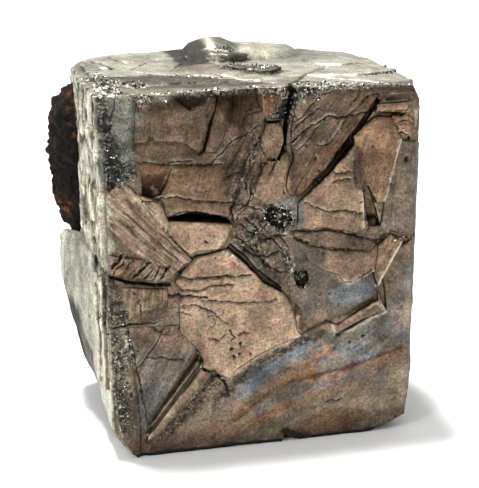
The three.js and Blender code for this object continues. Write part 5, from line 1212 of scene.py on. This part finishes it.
def make_tarnished_cobaltite():
    """Cobaltite, a metal-like sulphide, cleaved and then tarnished in air.

    The eye sees dull bronze plates mottled at a fraction of a millimetre, silver where the tarnish is thin,
    blue and orange bloom low on the front, and black dirt in every crack. Shade is painted into the hollows
    and as a contact shadow along the foot, and highlights onto the rubbed edges.
    """
    material, tree = new_material("tarnished_cobaltite")
    place = add(tree, "ShaderNodeTexCoord").outputs["Object"]
    value = {name: add(tree, "ShaderNodeAttribute", attribute_name=name).outputs["Fac"]
             for name in ("tone", "bloom", "red", "silver", "soot_and_shade", "hollow", "lip", "crackle")}

    # growth lines: the pattern is drawn out along them by squeezing the place, but not across them
    growth = add(tree, "ShaderNodeAttribute", attribute_name="growth").outputs["Vector"]
    line_share = add(tree, "ShaderNodeVectorMath", {0: growth}, operation="LENGTH").outputs["Value"]
    across = add(tree, "ShaderNodeVectorMath", {0: growth}, operation="NORMALIZE").outputs[0]
    reach = add(tree, "ShaderNodeVectorMath", {0: place, 1: across}, operation="DOT_PRODUCT").outputs["Value"]
    lifted = add(tree, "ShaderNodeVectorMath", {0: across, "Scale": reach}, operation="SCALE").outputs[0]
    squeezed = add(tree, "ShaderNodeVectorMath", {0: place, "Scale": 0.11}, operation="SCALE").outputs[0]
    drawn_out = add(tree, "ShaderNodeVectorMath", {0: lifted, 1: squeezed}, operation="ADD").outputs[0]

    # each pattern's place, the size of its detail in mm, octaves and how much the finer ones count
    patterns = {
        "mottle": (place, 0.22, 3.0, 0.8), "cloud": (place, 1.5, 2.0, 0.6),
        "hue_spot": (place, 0.35, 2.0, 0.7), "hue_cloud": (place, 1.3, 2.0, 0.6),
        "growth_line": (drawn_out, 0.24, 2.0, 0.7), "tooth": (place, 0.16, 2.0, 0.6),
        "speck": (place, 0.15, 1.0, 0.5), "vein": (place, 0.9, 4.0, 0.6),
    }
    noise = {name: add(tree, "ShaderNodeTexNoise", {"Vector": where, "Scale": per_mm(size), "Detail": octaves,
                                                    "Roughness": finer}).outputs
             for name, (where, size, octaves, finer) in patterns.items()}
    mottle, cloud = noise["mottle"]["Fac"], noise["cloud"]["Fac"]

    # most of a pattern lies from 0.3 to 0.7, which is spread over the range that each use needs
    spans = {"mottle_gain": (mottle, 0.48, 1.6), "cloud_gain": (cloud, 0.72, 1.28),
             "line_height": (noise["growth_line"]["Fac"], -0.4, 0.4), "gloss": (mottle, 0.5, 0.34)}
    span = {name: add(tree, "ShaderNodeMapRange", {"Value": pattern, "From Min": 0.3, "From Max": 0.7,
                                                   "To Min": low, "To Max": high}).outputs[0]
            for name, (pattern, low, high) in spans.items()}

    # the tarnish's hue
    hue = linear("#67594b")
    for name, tarnish in (("silver", "#b5b2a1"), ("red", "#935f38"), ("bloom", "#5f666c")):
        hue = add(tree, "ShaderNodeMix", {MIX_FACTOR: value[name], MIX_A: hue, MIX_B: linear(tarnish)},
                  data_type="RGBA").outputs[MIX_RESULT]
    for share, name in ((0.15, "hue_cloud"), (0.4, "hue_spot")):
        hue = add(tree, "ShaderNodeMix", {MIX_FACTOR: share, MIX_A: hue, MIX_B: noise[name]["Color"]},
                  data_type="RGBA", blend_type="SOFT_LIGHT").outputs[MIX_RESULT]

    # its brightness
    tone_gain = add(tree, "ShaderNodeMath", {0: value["tone"], 1: 1.0}, operation="ADD").outputs[0]
    line_gain = add(tree, "ShaderNodeMath", {0: span["line_height"], 1: line_share, 2: 1.0},
                    operation="MULTIPLY_ADD").outputs[0]
    gain = span["mottle_gain"]
    for factor in (line_gain, span["cloud_gain"], tone_gain):
        gain = add(tree, "ShaderNodeMath", {0: gain, 1: factor}, operation="MULTIPLY").outputs[0]
    colour = add(tree, "ShaderNodeVectorMath", {0: hue, "Scale": gain}, operation="SCALE").outputs[0]

    # dirt and painted shadow: specks, hair-thin veins, a painted contact shadow along the foot and what the
    # mesh's cracks hold
    speck_line = add(tree, "ShaderNodeMapRange", {"Value": cloud, "From Min": 0.35, "From Max": 0.65,
                                                  "To Min": 0.2, "To Max": 0.32}).outputs[0]
    speck_depth = add(tree, "ShaderNodeMath", {0: speck_line, 1: noise["speck"]["Fac"]},
                      operation="SUBTRACT").outputs[0]
    vein_off = add(tree, "ShaderNodeMath", {0: noise["vein"]["Fac"], 1: 0.5}, operation="SUBTRACT").outputs[0]
    vein_gap = add(tree, "ShaderNodeMath", {0: vein_off}, operation="ABSOLUTE").outputs[0]
    vein_width = add(tree, "ShaderNodeMath", {0: value["crackle"], 1: 0.011}, operation="MULTIPLY").outputs[0]
    vein_depth = add(tree, "ShaderNodeMath", {0: vein_width, 1: vein_gap}, operation="SUBTRACT").outputs[0]
    # a painted contact shadow: near black low along the foot, a little uneven
    height = add(tree, "ShaderNodeSeparateXYZ", {"Vector": place}).outputs["Z"]
    foot_shadow_height = add(tree, "ShaderNodeMath", {0: cloud, 1: FOOT_SHADOW_UNEVEN * MM, 2: height},
                      operation="MULTIPLY_ADD").outputs[0]
    dirt_and_painted_shadow = value["soot_and_shade"]
    for depth, low, high, darkest in ((foot_shadow_height, FOOT_SHADOW_TOP * MM, FOOT_SHADOW_BOTTOM * MM, 0.97),
                                      (vein_depth, 0.0, 0.006, 0.8), (speck_depth, 0.0, 0.05, 0.8)):
        mask = add(tree, "ShaderNodeMapRange", {"Value": depth, "From Min": low, "From Max": high,
                                                "To Max": darkest}).outputs[0]
        dirt_and_painted_shadow = add(tree, "ShaderNodeMath", {0: dirt_and_painted_shadow, 1: mask}, operation="MAXIMUM", use_clamp=True).outputs[0]

    # a painted highlight on rubbed edges, painted shade in the hollows, then dirt and painted shadow
    rubbed_and_highlight = add(tree, "ShaderNodeMath", {0: value["lip"], 1: 0.9}, operation="MULTIPLY").outputs[0]
    for share, cover in ((rubbed_and_highlight, "#e2d6c2"), (value["hollow"], "#1e1712"), (dirt_and_painted_shadow, "#0b0908")):
        colour = add(tree, "ShaderNodeMix", {MIX_FACTOR: share, MIX_A: colour, MIX_B: linear(cover)},
                     data_type="RGBA").outputs[MIX_RESULT]
    rough = add(tree, "ShaderNodeMix", {MIX_FACTOR: dirt_and_painted_shadow, 2: span["gloss"], 3: 0.85}).outputs[0]
    metallic = add(tree, "ShaderNodeMapRange", {"Value": dirt_and_painted_shadow, "From Min": 0.2, "From Max": 0.9,
                                                "To Min": 1.0, "To Max": 0.1}).outputs[0]
    relief = add(tree, "ShaderNodeMath", {0: line_gain, 1: noise["tooth"]["Fac"]}, operation="ADD").outputs[0]
    bump = add(tree, "ShaderNodeBump", {"Height": relief, "Strength": 0.5, "Distance": 0.05 * MM}).outputs[0]
    surface = add(tree, "ShaderNodeBsdfPrincipled", {"Base Color": colour, "Metallic": metallic,
                                                     "Roughness": rough, "Normal": bump}).outputs[0]
    add(tree, "ShaderNodeOutputMaterial", {"Surface": surface})
    return material


def make_bright_grains():
    """Fresh broken cobaltite: small clean facets, some of which flash white where they catch the light."""
    material, tree = new_material("fresh_cobaltite_grains")
    place = add(tree, "ShaderNodeTexCoord").outputs["Object"]
    spread = add(tree, "ShaderNodeTexNoise",
                 {"Vector": place, "Scale": per_mm(0.2), "Detail": 1.0}).outputs["Fac"]
    share = add(tree, "ShaderNodeMapRange", {"Value": spread, "From Min": 0.5, "From Max": 0.6}).outputs[0]
    colour = add(tree, "ShaderNodeMix",
                 {MIX_FACTOR: share, MIX_A: linear("#1c1916"), MIX_B: linear("#f4f1ea")},
                 data_type="RGBA").outputs[MIX_RESULT]
    surface = add(tree, "ShaderNodeBsdfPrincipled", {"Base Color": colour, "Metallic": 1.0,
                                                     "Roughness": 0.22}).outputs[0]
    add(tree, "ShaderNodeOutputMaterial", {"Surface": surface})
    return material


def make_rusty_rock():
    """Weathered host rock: near-black brown with powdery orange and ochre iron rust, dull all over."""
    material, tree = new_material("rusty_host_rock")
    place = add(tree, "ShaderNodeTexCoord").outputs["Object"]
    rust = add(tree, "ShaderNodeAttribute", attribute_name="rust").outputs["Fac"]
    crumb = add(tree, "ShaderNodeAttribute", attribute_name="crumb").outputs["Fac"]
    mottle = add(tree, "ShaderNodeTexNoise", {"Vector": place, "Scale": per_mm(0.7), "Detail": 4.0,
                                              "Roughness": 0.7}).outputs["Fac"]
    rust_spot = add(tree, "ShaderNodeMapRange",
                    {"Value": mottle, "From Min": 0.46, "From Max": 0.64}).outputs[0]
    rust_share = add(tree, "ShaderNodeMath", {0: rust, 1: rust_spot}, operation="MULTIPLY").outputs[0]
    blends = ((mottle, "#040403", "#18140e"), (crumb, "#3d2110", "#85491f"))
    dark, orange = [add(tree, "ShaderNodeMix", {MIX_FACTOR: share, MIX_A: linear(low), MIX_B: linear(high)},
                        data_type="RGBA").outputs[MIX_RESULT] for share, low, high in blends]
    colour = add(tree, "ShaderNodeMix", {MIX_FACTOR: rust_share, MIX_A: dark, MIX_B: orange},
                 data_type="RGBA").outputs[MIX_RESULT]
    tooth = add(tree, "ShaderNodeTexNoise",
                {"Vector": place, "Scale": per_mm(0.25), "Detail": 3.0}).outputs["Fac"]
    bump = add(tree, "ShaderNodeBump", {"Height": tooth, "Strength": 0.7, "Distance": 0.1 * MM}).outputs[0]
    surface = add(tree, "ShaderNodeBsdfPrincipled", {"Base Color": colour, "Roughness": 0.9,
                                                     "Specular IOR Level": 0.25, "Normal": bump}).outputs[0]
    add(tree, "ShaderNodeOutputMaterial", {"Surface": surface})
    return material


def make_white_card():
    """Matt white card under the specimen."""
    material, tree = new_material("matt_white_card")
    surface = add(tree, "ShaderNodeBsdfPrincipled", {"Base Color": linear("#f6f6f4"), "Roughness": 0.9,
                                                     "Specular IOR Level": 0.1}).outputs[0]
    add(tree, "ShaderNodeOutputMaterial", {"Surface": surface})
    return material


# Studio

CAMERA_TARGET = np.array([-2.0, 0.0, 17.5])      # in the drawing
CAMERA_AZIMUTH = -14
CAMERA_ELEVATION = 18
CAMERA_DISTANCE = 100
CAMERA_LENS = 92
CAMERA_SENSOR = 36

TENT_BRIGHT_SIDE = Vector((-0.15, 0.5, 0.85)).normalized()
TENT_DARKEST = 0.27
TENT_BRIGHTEST = 1.0

# Softboxes: [place in the drawing, width, watts], all aimed at the same point
SOFTBOXES = {
    "softbox_above": [(-100, 120, 865), 85, 8.5],
    "softbox_front_left": [(-110, -70, 110), 34, 0.06],
}
SOFTBOX_AIM = (0, 8, 14)
CARD_HALF = 0.7    # half the card's width, in metres


def in_frame(point):
    return Vector((np.asarray(point) + DRAWING_TO_FRAME) * MM)


def add_camera():
    camera = bpy.data.objects.new("camera", bpy.data.cameras.new("camera"))
    camera.data.lens = CAMERA_LENS
    camera.data.sensor_width = CAMERA_SENSOR
    camera.data.clip_start = 0.005
    azimuth, elevation = math.radians(CAMERA_AZIMUTH), math.radians(CAMERA_ELEVATION)
    back = Vector((math.sin(azimuth) * math.cos(elevation), -math.cos(azimuth) * math.cos(elevation),
                   math.sin(elevation)))
    camera.location = in_frame(CAMERA_TARGET) + back * CAMERA_DISTANCE * MM
    camera.rotation_euler = back.to_track_quat("Z", "Y").to_euler()
    bpy.context.scene.collection.objects.link(camera)
    bpy.context.scene.camera = camera


def add_softbox(name, place, size, power):
    light = bpy.data.objects.new(name, bpy.data.lights.new(name, "AREA"))
    light.data.energy = power
    light.data.size = size * MM
    light.location = in_frame(place)
    light.rotation_euler = (light.location - in_frame(SOFTBOX_AIM)).to_track_quat("Z", "Y").to_euler()
    bpy.context.scene.collection.objects.link(light)


def add_light_tent():
    """A white tent all round, brightest above and to the left."""
    world = bpy.data.worlds.new("light_tent")
    world.use_nodes = True
    tree = world.node_tree
    tree.nodes.clear()
    direction = add(tree, "ShaderNodeTexCoord").outputs["Generated"]
    towards = add(tree, "ShaderNodeVectorMath", {0: direction, 1: TENT_BRIGHT_SIDE},
                  operation="DOT_PRODUCT").outputs["Value"]
    strength = add(tree, "ShaderNodeMapRange", {"Value": towards, "From Min": -0.5, "From Max": 1.0,
                                                "To Min": TENT_DARKEST, "To Max": TENT_BRIGHTEST}).outputs[0]
    glow = add(tree, "ShaderNodeBackground", {"Color": (1, 1, 1, 1), "Strength": strength}).outputs[0]
    add(tree, "ShaderNodeOutputWorld", {"Surface": glow})
    bpy.context.scene.world = world


def add_studio():
    bpy.context.scene.view_settings.view_transform = "Standard"
    add_light_tent()
    for name, (place, size, power) in SOFTBOXES.items():
        add_softbox(name, place, size, power)

    mesh = bpy.data.meshes.new("card")
    corners = [(x * CARD_HALF, y * CARD_HALF, 0) for x, y in ((-1, -1), (1, -1), (1, 1), (-1, 1))]
    mesh.from_pydata(corners, [], [(0, 1, 2, 3)])
    mesh.materials.append(make_white_card())
    card = bpy.data.objects.new("card", mesh)
    bpy.context.scene.collection.objects.link(card)


def scatter_grains(crystal, material):
    """Small cubes of fresh cobaltite, half sunk into the granular zones."""
    tree = bpy.data.node_groups.new("scatter_grains", "GeometryNodeTree")
    for side in ("INPUT", "OUTPUT"):
        tree.interface.new_socket("Geometry", in_out=side, socket_type="NodeSocketGeometry")
    sockets = {name: tree.interface.new_socket(name, in_out="INPUT", socket_type=kind).identifier
               for name, (kind, _) in GRAIN_INPUTS.items()}
    given = add(tree, "NodeGroupInput").outputs
    share = add(tree, "GeometryNodeInputNamedAttribute", {"Name": "grains"}, data_type="FLOAT").outputs[0]
    density = add(tree, "ShaderNodeMath", {0: share, 1: given["Grains per square metre"]},
                  operation="MULTIPLY").outputs[0]
    points = add(tree, "GeometryNodeDistributePointsOnFaces",
                 {"Mesh": given["Geometry"], "Density": density, "Seed": given["Seed"]})
    cube = add(tree, "GeometryNodeMeshCube", {"Size": (1, 1, 1)}).outputs["Mesh"]
    turn = add(tree, "FunctionNodeRandomValue",
               {0: (0, 0, 0), 1: (FULL_TURN, FULL_TURN, FULL_TURN), "Seed": given["Seed"]},
               data_type="FLOAT_VECTOR").outputs[0]
    size = add(tree, "FunctionNodeRandomValue",
               {2: given["Smallest grain"], 3: given["Largest grain"], "Seed": given["Seed"]},
               data_type="FLOAT").outputs[1]
    grains = add(tree, "GeometryNodeInstanceOnPoints",
                 {"Points": points.outputs["Points"], "Instance": cube, "Rotation": turn, "Scale": size})
    real = add(tree, "GeometryNodeRealizeInstances", {"Geometry": grains.outputs[0]}).outputs[0]
    dressed = add(tree, "GeometryNodeSetMaterial", {"Geometry": real, "Material": material}).outputs[0]
    add(tree, "NodeGroupOutput", {"Geometry": dressed})

    piece = bpy.data.objects.new("granular_crust", crystal.data.copy())
    bpy.context.scene.collection.objects.link(piece)
    modifier = piece.modifiers.new("scatter", "NODES")
    modifier.node_group = tree
    for name, (_, value) in GRAIN_INPUTS.items():
        modifier[sockets[name]] = value
    evaluated(piece)
    return piece


def main():
    add_camera()
    add_studio()

    crystal = fine_copy("cobaltite_crystal", "crystal_surface", CRYSTAL_VOXEL)
    shape_crystal(crystal)
    thin_out(crystal, CRYSTAL_TRIANGLES)
    place_in_frame(crystal)
    crystal.data.materials.append(make_tarnished_cobaltite())
    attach(crystal, "root")
    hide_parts("cobaltite_crystal")

    grains = scatter_grains(crystal, make_bright_grains())
    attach(grains, "root")

    rock = fine_copy("rusty_matrix", "rock_surface", ROCK_VOXEL)
    shape_rock(rock)
    thin_out(rock, ROCK_TRIANGLES)
    place_in_frame(rock)
    rock.data.materials.append(make_rusty_rock())
    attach(rock, "root")
    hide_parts("rusty_matrix")


main()
